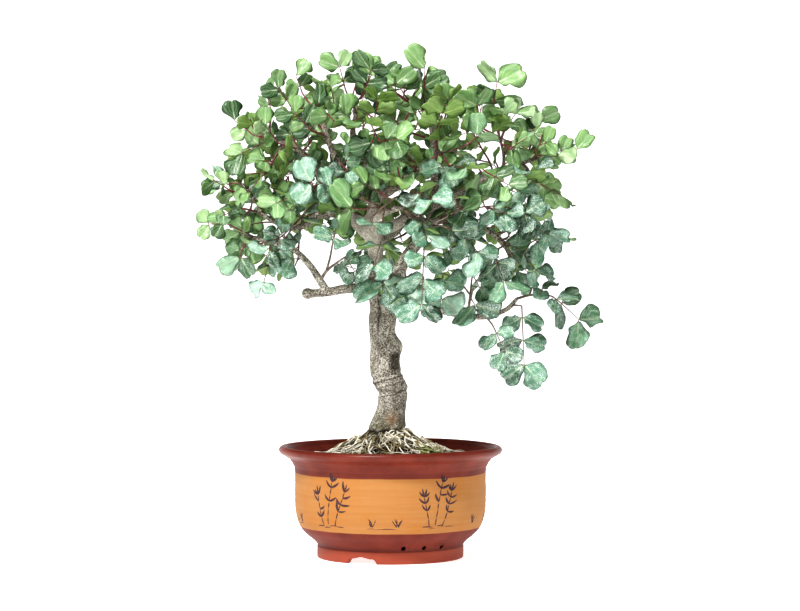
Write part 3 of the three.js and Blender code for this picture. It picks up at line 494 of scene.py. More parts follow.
SHOOTS = {
    "hero": [
        (37, -100, 350, 30, 1, 3, -1.9, (-0.05, -0.22, -1)),
        (145, -42, 282, 30, 1, 3, -1.8, (0.04, -0.12, -1)),
        (180, -14, 292, 31, 1, 2, -0.6, (0.8, -0.05, -0.6)),
        (-4, -52, 322, 34, 1, 1, -1.2, (-0.25, -0.2, -0.95)),
        (37, -8, 514, 29, 1, 2, 1.6, (0.04, -0.1, 1)),
        (-30, -92, 388, 34, 1, 1, -0.6, (-0.75, -0.5, 0.2)),
        (114, -12, 498, 30, 1, 2, 1.3, (0.1, -0.1, 1)),
        (-162, -46, 346, 25, 1, 1, -1.6, (-0.35, -0.1, -1)),
    ],
    "crown": [
        (-98, -10, 518, 20, 2, 2, 1.0), (-50, -25, 522, 23, 2, 2, 1.2), (-27, -45, 518, 26, 2, 2, 1.1),
        (-17, -60, 488, 25, 2, 2, 0.8), (6, -25, 518, 25, 2, 2, 1.1), (-78, -15, 508, 22, 1, 2, 1.0),
        (62, -5, 516, 26, 2, 2, 1.1), (89, -15, 508, 28, 2, 2, 1.0), (132, -15, 488, 26, 2, 2, 0.9),
        (60, -30, 488, 25, 2, 2, 0.8), (100, -40, 476, 26, 2, 2, 0.6), (158, 0, 464, 24, 2, 2, 0.7),
        (180, -6, 452, 24, 2, 2, 0.2), (10, -5, 478, 25, 1, 2, 0.7),
    ],
    "right": [
        (159, -25, 420, 25, 2, 2, -0.2), (137, -50, 412, 25, 2, 2, -0.1),
        (147, -45, 376, 26, 2, 2, -0.5), (141, -35, 346, 25, 2, 2, -0.4),
        (113, -60, 339, 28, 2, 2, -0.8), (91, -62, 302, 30, 2, 1, -0.5),
        (91, -20, 316, 26, 2, 2, -0.6), (167, 10, 381, 24, 2, 2, -0.5),
        (161, -10, 344, 22, 1, 2, -0.3),
    ],
    "front": [
        (73, -78, 366, 27, 2, 2, -0.9), (-8, -88, 360, 28, 2, 2, -0.8),
        (-50, -42, 336, 21, 2, 2, -0.2), (16, -60, 322, 26, 1, 2, -1.0),
        (58, -50, 318, 28, 2, 2, -1.0), (-60, -48, 366, 23, 2, 2, -0.5),
        (-11, -78, 462, 26, 2, 2, 0.3), (8, -88, 434, 27, 2, 2, -0.2), (26, -92, 408, 28, 2, 2, -0.5),
        (50, -64, 474, 26, 2, 2, 0.4), (64, -84, 436, 26, 2, 2, -0.3), (89, -64, 462, 25, 2, 2, 0.3),
        (106, -74, 428, 26, 2, 2, -0.4), (132, -48, 454, 24, 2, 2, 0.4),
        (89, -88, 393, 26, 2, 3, -0.7), (120, -78, 392, 25, 2, 2, -0.6),
        (-56, -78, 408, 28, 2, 2, -0.3), (-100, -62, 406, 23, 2, 2, -0.3),
        (-89, -58, 380, 22, 2, 2, -0.7), (-138, -34, 428, 23, 2, 2, 0.1),
        (-112, -48, 438, 23, 2, 2, 0.2), (33, -96, 382, 26, 2, 2, -0.9),
        (-61, -62, 484, 24, 2, 2, 0.6), (-88, -48, 476, 23, 2, 2, 0.5), (-30, -72, 476, 25, 2, 2, 0.5),
        (36, -50, 446, 26, 1, 2, 0.2),
    ],
    "left": [
        (-117, -48, 361, 22, 2, 2, -0.7), (-154, -38, 352, 25, 2, 2, -0.6),
        (-132, -40, 335, 22, 2, 2, -1.2), (-179, -15, 372, 19, 2, 2, 0.1),
        (-179, -20, 410, 22, 2, 2, 0.4), (-166, -36, 390, 20, 2, 2, -0.2),
        (-168, 10, 404, 22, 2, 2, 0.2), (-160, -20, 432, 27, 2, 2, 0.5),
        (-154, -10, 472, 22, 2, 2, 0.6), (-132, -10, 497, 21, 2, 2, 0.8),
        (-110, -25, 502, 22, 2, 2, 0.8), (-124, -36, 462, 23, 2, 2, 0.4),
    ],
}
# Shoots that grow into one another near their foot are one spray.
FUSED = {
    "front_8": "hero_1", "front_9": "hero_1", "left_4": "hero_8",
    "back_5": "back_2", "back_10": "back_2",
}
BACK = {"shoots": 18, "centre": (0, 20, 396), "reach": (160, 125, 116), "from": -12, "sweep": 204}
LIMB_SLIMMING = 0.82
GROWTH_SEED = 20812
print(len(LIMBS), "limbs,", sum(map(len, SHOOTS.values())), "shoots by hand")

# %% [markdown]
# Draws come from a small generator of the script's own, so that the tree is the same in every
# version of every program. Vectors are numpy arrays.

# %% Draws and vectors
class Draws:
    def __init__(self, seed):
        self.state = seed

    def __call__(self, low, high):
        self.state = self.state * 48271 % 2147483647
        return low + (high - low) * (self.state / 2147483647)


UP = np.array([0.0, 0.0, 1.0])
GOLDEN_ANGLE = 2.39996323


def vec(*numbers):
    return np.array(numbers, float)


def length_of(v):
    return math.sqrt(v[0] * v[0] + v[1] * v[1] + v[2] * v[2])


def unit(v):
    return v / length_of(v)


def dot(a, b):
    return float(a[0] * b[0] + a[1] * b[1] + a[2] * b[2])


def cross(a, b):
    return vec(a[1] * b[2] - a[2] * b[1], a[2] * b[0] - a[0] * b[2], a[0] * b[1] - a[1] * b[0])


def turned(v, axis, angle):
    c, s = math.cos(angle), math.sin(angle)
    return v * c + cross(axis, v) * s + axis * (dot(axis, v) * (1 - c))


def flattened(v, normal):
    return v - normal * dot(v, normal)


def clamped(number):
    return min(1.0, max(0.0, number))


def smooth_line(rows, steps):
    """A smooth line through the rows, with a few points for each stretch."""
    rows = [np.array(row, float) for row in rows]
    rows = [2 * rows[0] - rows[1], *rows, 2 * rows[-1] - rows[-2]]
    out = []
    for a, b, c, d in zip(rows, rows[1:], rows[2:], rows[3:]):
        for t in np.arange(steps) / steps:
            square = (2 * a - 5 * b + 4 * c - d) * t * t
            cube = (3 * b - a - 3 * c + d) * t * t * t
            out.append(0.5 * (2 * b + (c - a) * t + square + cube))
    return np.array([*out, rows[-2]])


print("growing tools ready")

# %% [markdown]
# Leaves in a crown hardly touch, because each one grows towards the light between the others.
# `Room` keeps the cells of space that are taken, with their neighbours, so a leaf can ask whether
# its place is free.

# %% Room among the leaves
class Room:
    SPAN = 1000
    MIDDLE = 400

    def __init__(self, cell):
        self.cell = cell
        self.taken = set()
        steps = (-1, 0, 1)
        self.near = [self.key(i, j, k) for i in steps for j in steps for k in steps]

    def key(self, i, j, k):
        return (i * self.SPAN + j) * self.SPAN + k

    def keys(self, points):
        cells = np.floor(np.atleast_2d(points) / self.cell).astype(np.int64) + self.MIDDLE
        return set(self.key(*cells.T).tolist())

    def take(self, points):
        for key in self.keys(points):
            self.taken.update([key + step for step in self.near])

    def is_free(self, points):
        return self.taken.isdisjoint(self.keys(points))


LEAF_CELL = 3.2
OWN_CELL = 1.8
print("cells of", LEAF_CELL, "mm")

# %% [markdown]
# A carob leaf has two to four pairs of leaflets along a rib, and none at its end. A leaflet is a
# rounded egg shape, folded a little along its middle and curled at its tip.

# %% One leaflet and one leaf
SAMPLE_STEP = 2.2
ROOT_FREE = 4.5
LEAFLET_TRIES = 5
PETIOLE = 0.42
PAIR_SPACING = 0.78
DROOP = 0.1
OFF_RIB = 0.8
# Ranges of the draws for a leaflet: angle to the rib in degrees, also for the last pair, rise out of
# the leaf's plane, tilt in degrees, length and width as shares, fold and curl.
SPLAY = (54, 76)
LAST_SPLAY = (44, 60)
RISE = (-0.22, 0.3)
TILT = (-24, 24)
LENGTH_SHARE = (0.88, 1.12)
WIDTH_SHARE = (0.72, 0.9)
FOLD = (0.05, 0.26)
CURL = (0, 0.25)


def half_width(t):
    return min(1.0, 1.9 * t) if t < 0.55 else math.sqrt(max(0.0, 1 - ((t - 0.55) / 0.47) ** 2))


class Leaflet:
    def __init__(self, root, along, face, length, width, fold, curl):
        self.root, self.along, self.face = root, along, face
        self.length, self.width, self.fold, self.curl = length, width, fold, curl
        self.side = cross(face, along)

    def samples(self):
        """Points all over the leaflet are kept; those away from its root are returned."""
        rows = int(self.length / SAMPLE_STEP)
        places = []
        for i in range(1, rows + 1):
            t = i / rows
            half = half_width(t) * self.width / 2
            columns = int(half / SAMPLE_STEP) + 1
            places += [(t * self.length, half * j / columns) for j in range(-columns, columns + 1)]
        u, v = np.array(places).T[:, :, None]
        rise = self.fold * np.abs(v) - self.curl * u * u / self.length
        self.points = self.root + self.along * u + self.side * v + self.face * rise
        return self.points[u[:, 0] > ROOT_FREE]


def grow_leaf(base, aim, face, pairs, size, draw):
    petiole, spacing = PETIOLE * size, PAIR_SPACING * size
    reach = petiole + spacing * (pairs - 1)
    own = Room(OWN_CELL)
    rib, leaflets = [base], []
    for j in range(pairs):
        t = petiole + spacing * j
        p = base + aim * t - UP * (DROOP * t * t / reach)
        tangent = unit(aim - UP * (2 * DROOP * t / reach))
        normal = unit(flattened(face, tangent))
        side = cross(normal, tangent)
        rib.append(p)
        splays = LAST_SPLAY if j == pairs - 1 else SPLAY
        growth = 0.8 + 0.2 * (j + 1) / pairs
        for sign in (-1, 1):
            for _ in range(LEAFLET_TRIES):
                splay = math.radians(draw(*splays))
                along = tangent * math.cos(splay) + side * (sign * math.sin(splay))
                along = unit(along + normal * draw(*RISE))
                lie = turned(unit(flattened(normal, along)), along, math.radians(draw(*TILT)))
                length = size * growth * draw(*LENGTH_SHARE)
                width = length * draw(*WIDTH_SHARE)
                root = p + side * (sign * OFF_RIB)
                leaflet = Leaflet(root, along, lie, length, width, draw(*FOLD), draw(*CURL))
                far = leaflet.samples()
                if own.is_free(far):
                    own.take(far)
                    leaflet.rib_point = p
                    leaflets.append(leaflet)
                    break
    return rib, leaflets


print("leaf rule ready")

# %% [markdown]
# Shoots come first, because their wood takes room that no leaf may use. Each one leaves a seat on
# older wood. The far side of the crown carries shoots spread evenly by the golden angle.

# %% Grow the shoots
Seat = namedtuple("Seat", "p tangent r bearer")
TWIG_STEP = 16
BEARING_SHARE = 0.6
TOO_NEAR = 25
TURNING_COST = 0.35
BACK_SIZE = (22, 27)


class Shoot:
    def __init__(self, node, line, reach, radius, size, leaf_count, pairs, lift, given=None):
        self.node, self.line, self.reach, self.radius = node, line, reach, radius
        self.size, self.leaf_count, self.pairs, self.lift = size, leaf_count, pairs, lift
        self.given = given
        self.leaves = []
        self.bears = False

    def is_leafy(self):
        return self.bears or bool(self.leaves)

    def leaflets(self):
        return [leaflet for _, leaflets in self.leaves for leaflet in leaflets]


def leaflet_count(some):
    return sum(len(shoot.leaflets()) for shoot in some)


def back_shoots(draw):
    rows = []
    for i in range(BACK["shoots"]):
        share = i * GOLDEN_ANGLE / (2 * math.pi) % 1
        phi = math.radians(BACK["from"] + BACK["sweep"] * share)
        z = -0.55 + 1.45 * (i + 0.5) / BACK["shoots"]
        out = math.sqrt(max(0.05, 1 - z * z))
        around = vec(math.cos(phi) * out, math.sin(phi) * out, z)
        tip = vec(*BACK["centre"]) + around * vec(*BACK["reach"])
        rows.append((*tip, draw(*BACK_SIZE), 2, 2, 1.2 * z - 0.1))
    return rows


def nearest_seat(tip):
    """The nearest seat whose wood points the shoot's way, with those beside the tip last."""
    places = np.array([seat.p for seat in seats])
    tangents = np.array([seat.tangent for seat in seats])
    to_tip = tip - places
    d = np.sqrt((to_tip**2).sum(1))
    turning = 1 - (to_tip * tangents).sum(1) / np.maximum(d, 1e-9)
    cost = np.where(d < TOO_NEAR, 200 - d, d * (1 + TURNING_COST * turning))
    return seats[int(np.argmin(cost))]


def bezier(a, b, c, d, t):
    s = 1 - t
    return a * s**3 + b * (3 * t * s * s) + c * (3 * t * t * s) + d * t**3


def grow_shoot(own, row, seat):
    tip, lift = vec(*row[:3]), row[6]
    to_tip = tip - seat.p
    reach = length_of(to_tip)
    way = unit(to_tip)
    leaving = seat.p + unit(way + seat.tangent * 0.5) * (0.33 * reach)
    arriving = tip - unit(way + UP * (0.5 * lift)) * (0.33 * reach)
    steps = max(3, int(reach / TWIG_STEP + 0.5))
    line = [bezier(seat.p, leaving, arriving, tip, k / steps) for k in range(steps + 1)]
    for k in range(1, 2 * steps + 1):
        room.take(bezier(seat.p, leaving, arriving, tip, k / (2 * steps)))
    node = FUSED.get(own, own)
    if seat.bearer:
        node = seat.bearer.node
        seat.bearer.bears = True
    radius = min(seat.r * 0.75, 1.4 + 0.012 * reach)
    shoot = Shoot(node, line, reach, radius, *row[3:])
    for k in range(1, steps):
        if k < BEARING_SHARE * steps:
            seats.append(Seat(line[k], unit(line[k + 1] - line[k - 1]), radius, shoot))
    shoots.append(shoot)
    return shoot


draw = Draws(GROWTH_SEED)
room = Room(LEAF_CELL)
seats = []
shoots = []
slim = {name: [(x, y, z, r * LIMB_SLIMMING) for x, y, z, r in rows] for name, rows in LIMBS.items()}
limb_lines = {name: smooth_line(rows, 4) for name, rows in slim.items()}
for line in limb_lines.values():
    for i, row in enumerate(line):
        ahead, behind = line[min(i + 1, len(line) - 1)], line[max(i - 1, 0)]
        seats.append(Seat(row[:3], unit(ahead[:3] - behind[:3]), row[3], None))
        room.take(row[:3])
for region, rows in {**SHOOTS, "back": back_shoots(draw)}.items():
    for i, row in enumerate(rows):
        grow_shoot(f"{region}_{i + 1}", row, nearest_seat(vec(*row[:3])))
print(len(shoots), "shoots on", len(seats), "seats")

# %% [markdown]
# Then the leaves, from each shoot's tip back. A leaf that finds no room is turned on, then made
# shorter, and at last left out.

# %% Grow the leaves
HEART = vec(0, 0, 380)
LEAF_TRIES = 18
SHORTER_FROM = (8, 14)
LEAF_SPACING = 16
SPIRAL = 2.4
FACE_SPIN = 28
GIVEN_SPIN = 12


def grow_leaves(shoot, room, fits=lambda points: True):
    line, lift = shoot.line, shoot.lift
    n = len(line) - 1
    spiral = draw(0, 6.283)
    for k in range(shoot.leaf_count):
        f = max(0.3, 1 - k * LEAF_SPACING / shoot.reach) * n
        i = min(int(f), n - 1)
        base = line[i] + (line[i + 1] - line[i]) * (f - i)
        tangent = unit(line[i + 1] - line[i])
        out = unit(base - HEART)
        helper = unit(cross(tangent, UP if abs(tangent[2]) < 0.9 else vec(1, 0, 0)))
        for attempt in range(LEAF_TRIES):
            pairs = max(1, shoot.pairs - sum(attempt >= start for start in SHORTER_FROM))
            radial = turned(helper, tangent, spiral + SPIRAL * k + SPIRAL * attempt)
            aim = tangent * 0.6 + radial * (0.35 if k == 0 else 0.9)
            aim = unit(aim + out * 0.5 + UP * (0.75 * lift))
            way = unit(vec(0, 0.75 if base[1] > 25 else -0.75, 0.55) + out * 0.35)
            spin = FACE_SPIN
            if shoot.given and k == 0:
                stray = vec(draw(-0.15, 0.15), draw(-0.15, 0.15), draw(-0.15, 0.15))
                aim = unit(unit(vec(*shoot.given)) + stray * (attempt / 4))
                way, spin = unit(vec(0, -1, 0.35)), GIVEN_SPIN
            flat = flattened(way, aim)
            if dot(flat, flat) < 0.05:
                flat = flattened(UP, aim)
            face = turned(unit(flat), aim, math.radians(draw(-spin, spin)))
            rib, leaflets = grow_leaf(base, aim, face, pairs, shoot.size, draw)
            if len(leaflets) < 2 * pairs - 1:
                continue
            points = np.concatenate([leaflet.points for leaflet in leaflets])
            if fits(points) and room.is_free(points):
                room.take(points)
                shoot.leaves.append((rib, leaflets))
                break


for shoot in shoots:
    grow_leaves(shoot, room)
main_leaflets = leaflet_count(shoots)
print(main_leaflets, "leaflets on the main shoots")

# %% [markdown]
# Younger shoots fill what the main ones leave open. A few of them are given first, at the lower
# right and at the top. Then spots are spread over the crown by the golden angle. A spot with no
# leaf near it gets a shoot from an older one, if its twig finds a free way.

# %% Grow the younger shoots
# The outline of the crown from the front: x, lowest and highest z.
CROWN = [
    (-222, 372, 428), (-200, 340, 452), (-188, 330, 470), (-161, 306, 515), (-121, 307, 534),
    (-108, 308, 535), (-94, 362, 535), (-60, 352, 557), (-27, 300, 563), (0, 288, 568),
    (40, 292, 566), (67, 318, 559), (93, 340, 543), (120, 330, 545), (147, 240, 531),
    (174, 300, 500), (187, 372, 482), (216, 440, 456),
]
CROWN_CENTRE = vec(0, 0, 408)
CROWN_REACH = vec(222, 132, 172)
LATE = [
    (126, -52, 290, 27, 2, 2, -1.0), (158, -30, 304, 26, 2, 2, -0.9), (112, -56, 262, 26, 2, 2, -1.2),
    (-2, -20, 548, 24, 2, 2, 1.0), (62, -20, 548, 24, 2, 2, 1.1),
]
YOUNG = {"spots": 900, "from": 0.7, "open": 12, "own_twig": 7, "reach": (10, 60), "size": (21, 27)}


def in_crown(points):
    """Whether points in millimetres lie inside the crown's outline and depth."""
    points = np.atleast_2d(points)
    x, low, high = zip(*CROWN)
    z = points[:, 2]
    inside = (z > np.interp(points[:, 0], x, low)) & (z < np.interp(points[:, 0], x, high))
    deep = (((points - CROWN_CENTRE) / CROWN_REACH) ** 2).sum(1) < 1
    return bool(np.all(inside & deep))


def young_spots():
    for i in range(YOUNG["spots"]):
        z = 1 - 2 * (i + 0.5) / YOUNG["spots"]
        phi = i * GOLDEN_ANGLE
        out = math.sqrt(1 - z * z)
        share = draw(YOUNG["from"], 1)
        yield CROWN_CENTRE + vec(math.cos(phi) * out, math.sin(phi) * out, z) * CROWN_REACH * share


def open_seat(tip):
    """The nearest seat on an older leafy shoot from which a straight way to the tip is free."""
    older = [seat for seat in seats if seat.bearer and seat.bearer.is_leafy()]
    older.sort(key=lambda seat: length_of(tip - seat.p))
    shortest, longest = YOUNG["reach"]
    for seat in older:
        reach = length_of(tip - seat.p)
        if reach > longest:
            return None
        steps = np.arange(YOUNG["own_twig"], reach, 3.0)[:, None]
        if reach > shortest and room.is_free(seat.p + unit(tip - seat.p) * steps):
            return seat
    return None


def fill(some_room, shoot):
    for leaflet in shoot.leaflets():
        some_room.take(leaflet.points)


def grow_young(row, *fits):
    seat = open_seat(vec(*row[:3]))
    if seat:
        shoot = grow_shoot("young", row, seat)
        grow_leaves(shoot, room, *fits)
        fill(open_room, shoot)


open_room = Room(YOUNG["open"])
for shoot in shoots:
    fill(open_room, shoot)
for row in LATE:
    grow_young(row)
for tip in young_spots():
    size = draw(*YOUNG["size"])
    lift = draw(-0.3, 0.5) + (tip[2] - CROWN_CENTRE[2]) / 200
    if in_crown(tip) and open_room.is_free(tip):
        grow_young((*tip, size, 2, 2, lift), in_crown)
print(leaflet_count(shoots) - main_leaflets, "leaflets on younger shoots")

# %% [markdown]
# The smallest shoots are too many for the solids. They leave the twigs wherever a finer room still
# has a place.

# %% Smallest shoots between the others
FINE = {"tries": 260, "cell": 2.0, "reach": (12, 30), "size": (17, 23)}
# In front of the knot the limbs lie bare, so these x and z stay free.
WINDOW = ((-78, 22), (322, 402))
WINDOW_BACK = 8
fine_room = Room(FINE["cell"])
for line in limb_lines.values():
    fine_room.take(line[:, :3])
for shoot in shoots:
    for a, b in zip(shoot.line, shoot.line[1:]):
        fine_room.take([a + (b - a) * t for t in (0.25, 0.5, 0.75, 1)])
    fill(fine_room, shoot)

young = []
for _ in range(FINE["tries"]):
    seat = seats[int(draw(0, len(seats)))]
    out = unit(seat.p - HEART) if length_of(seat.p - HEART) > 1 else UP
    stray = vec(draw(-1, 1), draw(-1, 1), draw(-0.8, 1))
    reach = draw(*FINE["reach"])
    way = unit(out * 0.7 + stray + UP * 0.2)
    tip = seat.p + way * reach
    size, lift = draw(*FINE["size"]), draw(-0.6, 0.7)
    in_window = all(low < tip[k] < high for k, (low, high) in zip((0, 2), WINDOW))
    bare = in_window and tip[1] < WINDOW_BACK
    if bare or not in_crown(tip) or not fine_room.is_free(tip):
        continue
    middle = seat.p + unit(way + seat.tangent * 0.5) * (0.5 * reach)
    node = seat.bearer.node if seat.bearer else None
    radius = min(seat.r * 0.6, 1.2)
    shoot = Shoot(node, [seat.p, middle, tip], reach, radius, size, 2, 2, lift)
    grow_leaves(shoot, fine_room, in_crown)
    if shoot.leaves:
        young.append(shoot)
        fine_room.take([middle, tip])
print(len(young), "smallest shoots with", leaflet_count(young), "leaflets")

# %% [markdown]
# ## Leaflets, ribs and twigs
#
# The recipe takes a bare mesh. Its lines are twigs and ribs, with a radius at each point. Its
# loose points are leaflets, with the directions and sizes that the growth rule gave. A leaflet
# starts as a small grid, narrowed to the outline. Its upper and lower sheet share their rim, so it
# is a closed blade. Once every point has its own copy, formulas fold, curl and ripple each one in
# its own way. The blade keeps its place along and across as attributes, for the veins.

# %% The recipe for a spray
ROWS, COLUMNS = 10, 5
foliage = Paint("carob_foliage", roughness=0.4, specular=0.62)
spray = Recipe(
    "spray", foliage, Blade_thickness=0.00045, Ripple=0.17, Twig_sides=6, Rows=ROWS, Columns=COLUMNS
)


def blade():
    sockets = {0: 2.0, 1: 1.0, 2: spray.input("Columns"), 3: spray.input("Rows")}
    grid = spray.add("GeometryNodeMeshGrid", sockets)
    across = spray.add("ShaderNodeSeparateXYZ", {0: spray.add("GeometryNodeInputPosition")})
    even = across.output("Y") + 0.5
    # Rows stand closer at both ends, where the outline turns.
    along = even * 0.5 + (0.5 - (even * math.pi).cos() * 0.5) * 0.5
    half = ((along**1.15 * 0.78 + 0.05) * math.pi).sin() ** 0.75
    square = across * across
    # The tip is rounded, with a notch at the end of the midrib.
    tip = along**6 * (0.07 * (1 - square) - 0.1 * (1 - abs(across)) ** 3)
    foot = (1 - along) ** 6 * (square * 0.07)
    height = (1 - square * square) * (1 - (along * 2 - 1) ** 8)
    height = height * spray.input("Blade_thickness") * 0.5
    sheets = []
    for under in (0, 1):
        flat = spray.xyz(across * half, along + tip + foot, height * (1 - 2 * under))
        sheet = spray.add("GeometryNodeSetPosition", {"Geometry": grid, "Position": flat})
        sheet = spray.store(spray.store(sheet, "u", along), "v", across)
        if under:
            sheet = spray.add("GeometryNodeFlipFaces", {0: sheet})
        sheets.append(spray.store(sheet, "under", float(under), "FACE"))
    whole = spray.joined(*sheets)
    return spray.add("GeometryNodeMergeByDistance", {"Geometry": whole, "Distance": 1e-6})


def bent(blades):
    u, v, length, width = (spray.named(name) for name in ("u", "v", "length", "width"))
    phase, fold = spray.named("phase"), spray.named("fold")
    # Waves run along both edges, out of step with each other.
    turn = (u * 11 + phase * 19 + v * 1.7).sin()
    ripple = turn * (v * v) * length * spray.input("Ripple")
    curl = spray.named("curl") * u * u * length
    twist = (phase - 0.5) * (u - 0.3) * v * width * 1.1
    rise = fold * (abs(v) * width * 0.5) - curl + ripple + twist
    # A folded leaflet is narrower, and its edge has shallow lobes.
    lobe = ((u * 13.5 + phase * 31 + v * 2.3).sin() * 0.11 - fold * fold * 0.22) * v * width
    for axis, offset in (("face", rise), ("side", lobe)):
        blades = spray.moved(blades, spray.scaled(spray.named(axis, "FLOAT_VECTOR"), offset))
    return blades


is_leaflet = spray.named("leaflet").above(0.5)
parted = spray.add("GeometryNodeSeparateGeometry", {0: spray.entry, 1: is_leaflet}, domain="POINT")
turning = spray.add(
    "FunctionNodeAxesToRotation",
    {0: spray.named("face", "FLOAT_VECTOR"), 1: spray.named("along", "FLOAT_VECTOR")},
    primary_axis="Z", secondary_axis="Y",
)
scaling = spray.xyz(spray.named("width") * 0.5, spray.named("length"), 1.0)
copies = spray.copies(parted, blade(), turning, scaling)
blades = bent(spray.add("GeometryNodeRealizeInstances", {"Geometry": copies}))
twigs = spray.round_tubes(parted.output("Inverted"), spray.input("Twig_sides"))
spray.finish(spray.joined(spray.store(blades, "leaf", 1.0), spray.store(twigs, "leaf", 0.0)))
print("a leaflet has", 2 * (ROWS - 1) * (COLUMNS - 1), "faces")

# %% [markdown]
# New leaves are a light yellow-green and the old ones at the bottom and the front are blue-green,
# with a pale mineral bloom from years of watering. The age of a leaf follows its place in the
# crown, with some chance.

# %% Bare meshes for the sprays
RIB_RADIUS = 0.55
STALK_RADIUS = 0.38
TIP_RADIUS = 0.8
# How far the finer leaflets stray from those of the growth rule.
FINE_LENGTH = (0.88, 1.0)
FINE_WIDTH = (0.84, 1.0)
FINE_FOLD = (0.0, 0.55)
FINE_CURL = (-0.2, 0.16)
LEAF_AGE_STRAY = (-0.45, 0.45)
AGE_STRAY = (-0.12, 0.12)
looks = Draws(977)


def hanging(p):
    """1 for leaves that hang at the lower right, which are a deeper green."""
    return min(1.0, max(0.0, (p[0] - 80) / 60) * max(0.0, (330 - p[2]) / 50))


def inside(p):
    """0 for leaves at the outside of the crown, 1 for those deep inside, which get painted shade."""
    return clamped((0.95 - length_of((p - CROWN_CENTRE) / CROWN_REACH)) / 0.45)


def leaf_age(p):
    """0 for new growth at the top and the outside, 1 for old leaves low in the middle."""
    height = (474 - p[2]) / 138
    left = max(0.0, (-p[0] - 90) / 90)
    behind = clamped((p[1] - 10) / 60)
    return height - 0.35 * left - 0.4 * behind - 0.6 * hanging(p)


# Painted shade: leaflets deep inside the crown get a darker tone, as the crown shades them. Those
# hanging at the lower right get a darker tone too.
def leaf_light(p):
    return (1 - 0.5 * hanging(p)) * (1 - 0.4 * inside(p))


def spray_lines(own):
    """Twigs and ribs with the radius and redness of each point, and leaflets with their age."""
    lines, radii, reds, blades = [], [], [], []

    def add_line(line, radius_at, red_at):
        steps = len(line) - 1
        lines.append(line)
        radii.extend(radius_at(i / steps) for i in range(len(line)))
        reds.extend(red_at(i / steps) for i in range(len(line)))

    for shoot in own:
        fresh = 1 - 0.75 * clamped(leaf_age(shoot.line[-1]))
        redness = fresh if shoot.radius < 2.2 else 0.35 * fresh
        add_line(
            smooth_line(shoot.line, 3),
            lambda t: shoot.radius + (TIP_RADIUS - shoot.radius) * t,
            lambda t: min(1.0, redness * (0.25 + 0.9 * t)),
        )
        for rib, leaflets in shoot.leaves:
            age = clamped(leaf_age(rib[-1]) + looks(*LEAF_AGE_STRAY))
            rib_line = smooth_line(rib, 3)
            add_line(rib_line, lambda t: RIB_RADIUS * (1.5 - t * 0.8), lambda t: 0.9 - 0.5 * age)
            for one in leaflets:
                stalk = [one.rib_point, one.root, one.root + one.along * 1.6]
                add_line(stalk, lambda t: STALK_RADIUS, lambda t: 0.6)
                blades.append((one, age))
    return lines, radii, reds, blades


def bare_spray(name, own):
    lines, radii, reds, blades = spray_lines(own)
    leaflets = [leaflet for leaflet, _ in blades]

    def on_blades(values, on_lines=0.0):
        return [on_lines] * len(radii) + values

    marks = {
        "leaflet": on_blades([1.0] * len(blades)),
        "radius": [r * MM for r in radii] + [0.0] * len(blades),
        "red": reds + [0.0] * len(blades),
        "length": on_blades([one.length * looks(*FINE_LENGTH) * MM for one in leaflets]),
        "width": on_blades([one.width * looks(*FINE_WIDTH) * MM for one in leaflets]),
        "fold": on_blades([one.fold + looks(*FINE_FOLD) for one in leaflets]),
        "curl": on_blades([one.curl + looks(*FINE_CURL) for one in leaflets]),
        "age": on_blades([clamped(age + looks(*AGE_STRAY)) for _, age in blades]),
        # The tone is chance, darkened by painted shade deep inside the crown.
        "tone_and_shade": on_blades([looks(0, 1) * leaf_light(one.root) for one in leaflets]),
        "phase": on_blades([looks(0, 1) for _ in blades]),
    }
    faces = [turned(one.face, one.along, math.radians(looks(*TILT))) for one in leaflets]
    marks["along"] = on_blades([one.along for one in leaflets], UP)
    marks["face"] = on_blades(faces, UP)
    marks["side"] = on_blades([cross(face, one.along) for face, one in zip(faces, leaflets)], UP)
    return lines_mesh(name, lines, [one.root for one in leaflets], **marks)


print("a leaf at the heart of the crown has age", round(leaf_age(HEART), 2))

# %% [markdown]
# Each spray takes the place of its solid. Shoots that bear nothing are left out, as in the solids.
# Young shoots that sprout from a limb have no solid of their own, so they form pieces by themselves.

# %% Make every spray
PARCEL = 24
every = [shoot for shoot in shoots + young if shoot.is_leafy()]
for shoot in every:
    if f"spray_{shoot.node}" not in frame["nodes"]:
        shoot.node = None
nodes = sorted({shoot.node for shoot in every if shoot.node})
total = 0
for node in nodes:
    own = [shoot for shoot in every if shoot.node == node]
    thing = cooked(bare_spray(f"{node}_spray", own), spray)
    fresh = any(word in node for word in ("crown", "back", "left"))
    dress(thing, "fresh_foliage" if fresh else "old_foliage", f"spray_{node}")
    total += triangles(thing)
print(len(nodes), "sprays,", total, "triangles")

loners = [shoot for shoot in every if not shoot.node]
loners.sort(key=lambda shoot: math.atan2(shoot.line[0][1], shoot.line[0][0]))
for start in range(0, len(loners), PARCEL):
    name = f"young_shoots_{start // PARCEL + 1}"
    thing = dress(cooked(bare_spray(name, loners[start : start + PARCEL]), spray), "fresh_foliage")
    total += triangles(thing)
print(len(loners), "young shoots on the limbs;", total, "triangles of foliage")

# %% [markdown]
# ## The wood
#
# Trunk, limbs and thick roots grew as one piece, so their surfaces flow into one another. Tubes
# that merely cross would show hard seams. So the trunk is a ring-by-ring skin of its own, the limbs
# and roots are tubes from a recipe, and a voxel remesh melts them into one skin, which a second
# recipe covers with the small humps of bark.

# %% The trunk's skin
TRUNK_SIDES = 72
TRUNK_STEP = 1.5
# Height and its reach, angle and its spread in degrees, share of the radius. Angle 0 is the left of
# the trunk, and angles grow towards the front.
HUMPS = {
    "burl": (237, 10, 180, 55, 0.22), "ridge": (262, 34, 0, 40, 0.12),
    "cave": (220, 9, 134, 18, -0.22), "groove between the stems": (271, 17, 68, 9, -0.28),
}
# Height, climb towards the right, width, share of the radius. The last one is the root collar.
CREASES = [(203, 3.5, 1.9, 0.11), (196, 4.5, 1.6, 0.08), (185, 1.5, 2.0, 0.12), (141, 1.2, 2.6, 0.2)]


def off_angle(angle, middle):
    return np.arctan2(np.sin(angle - middle), np.cos(angle - middle))


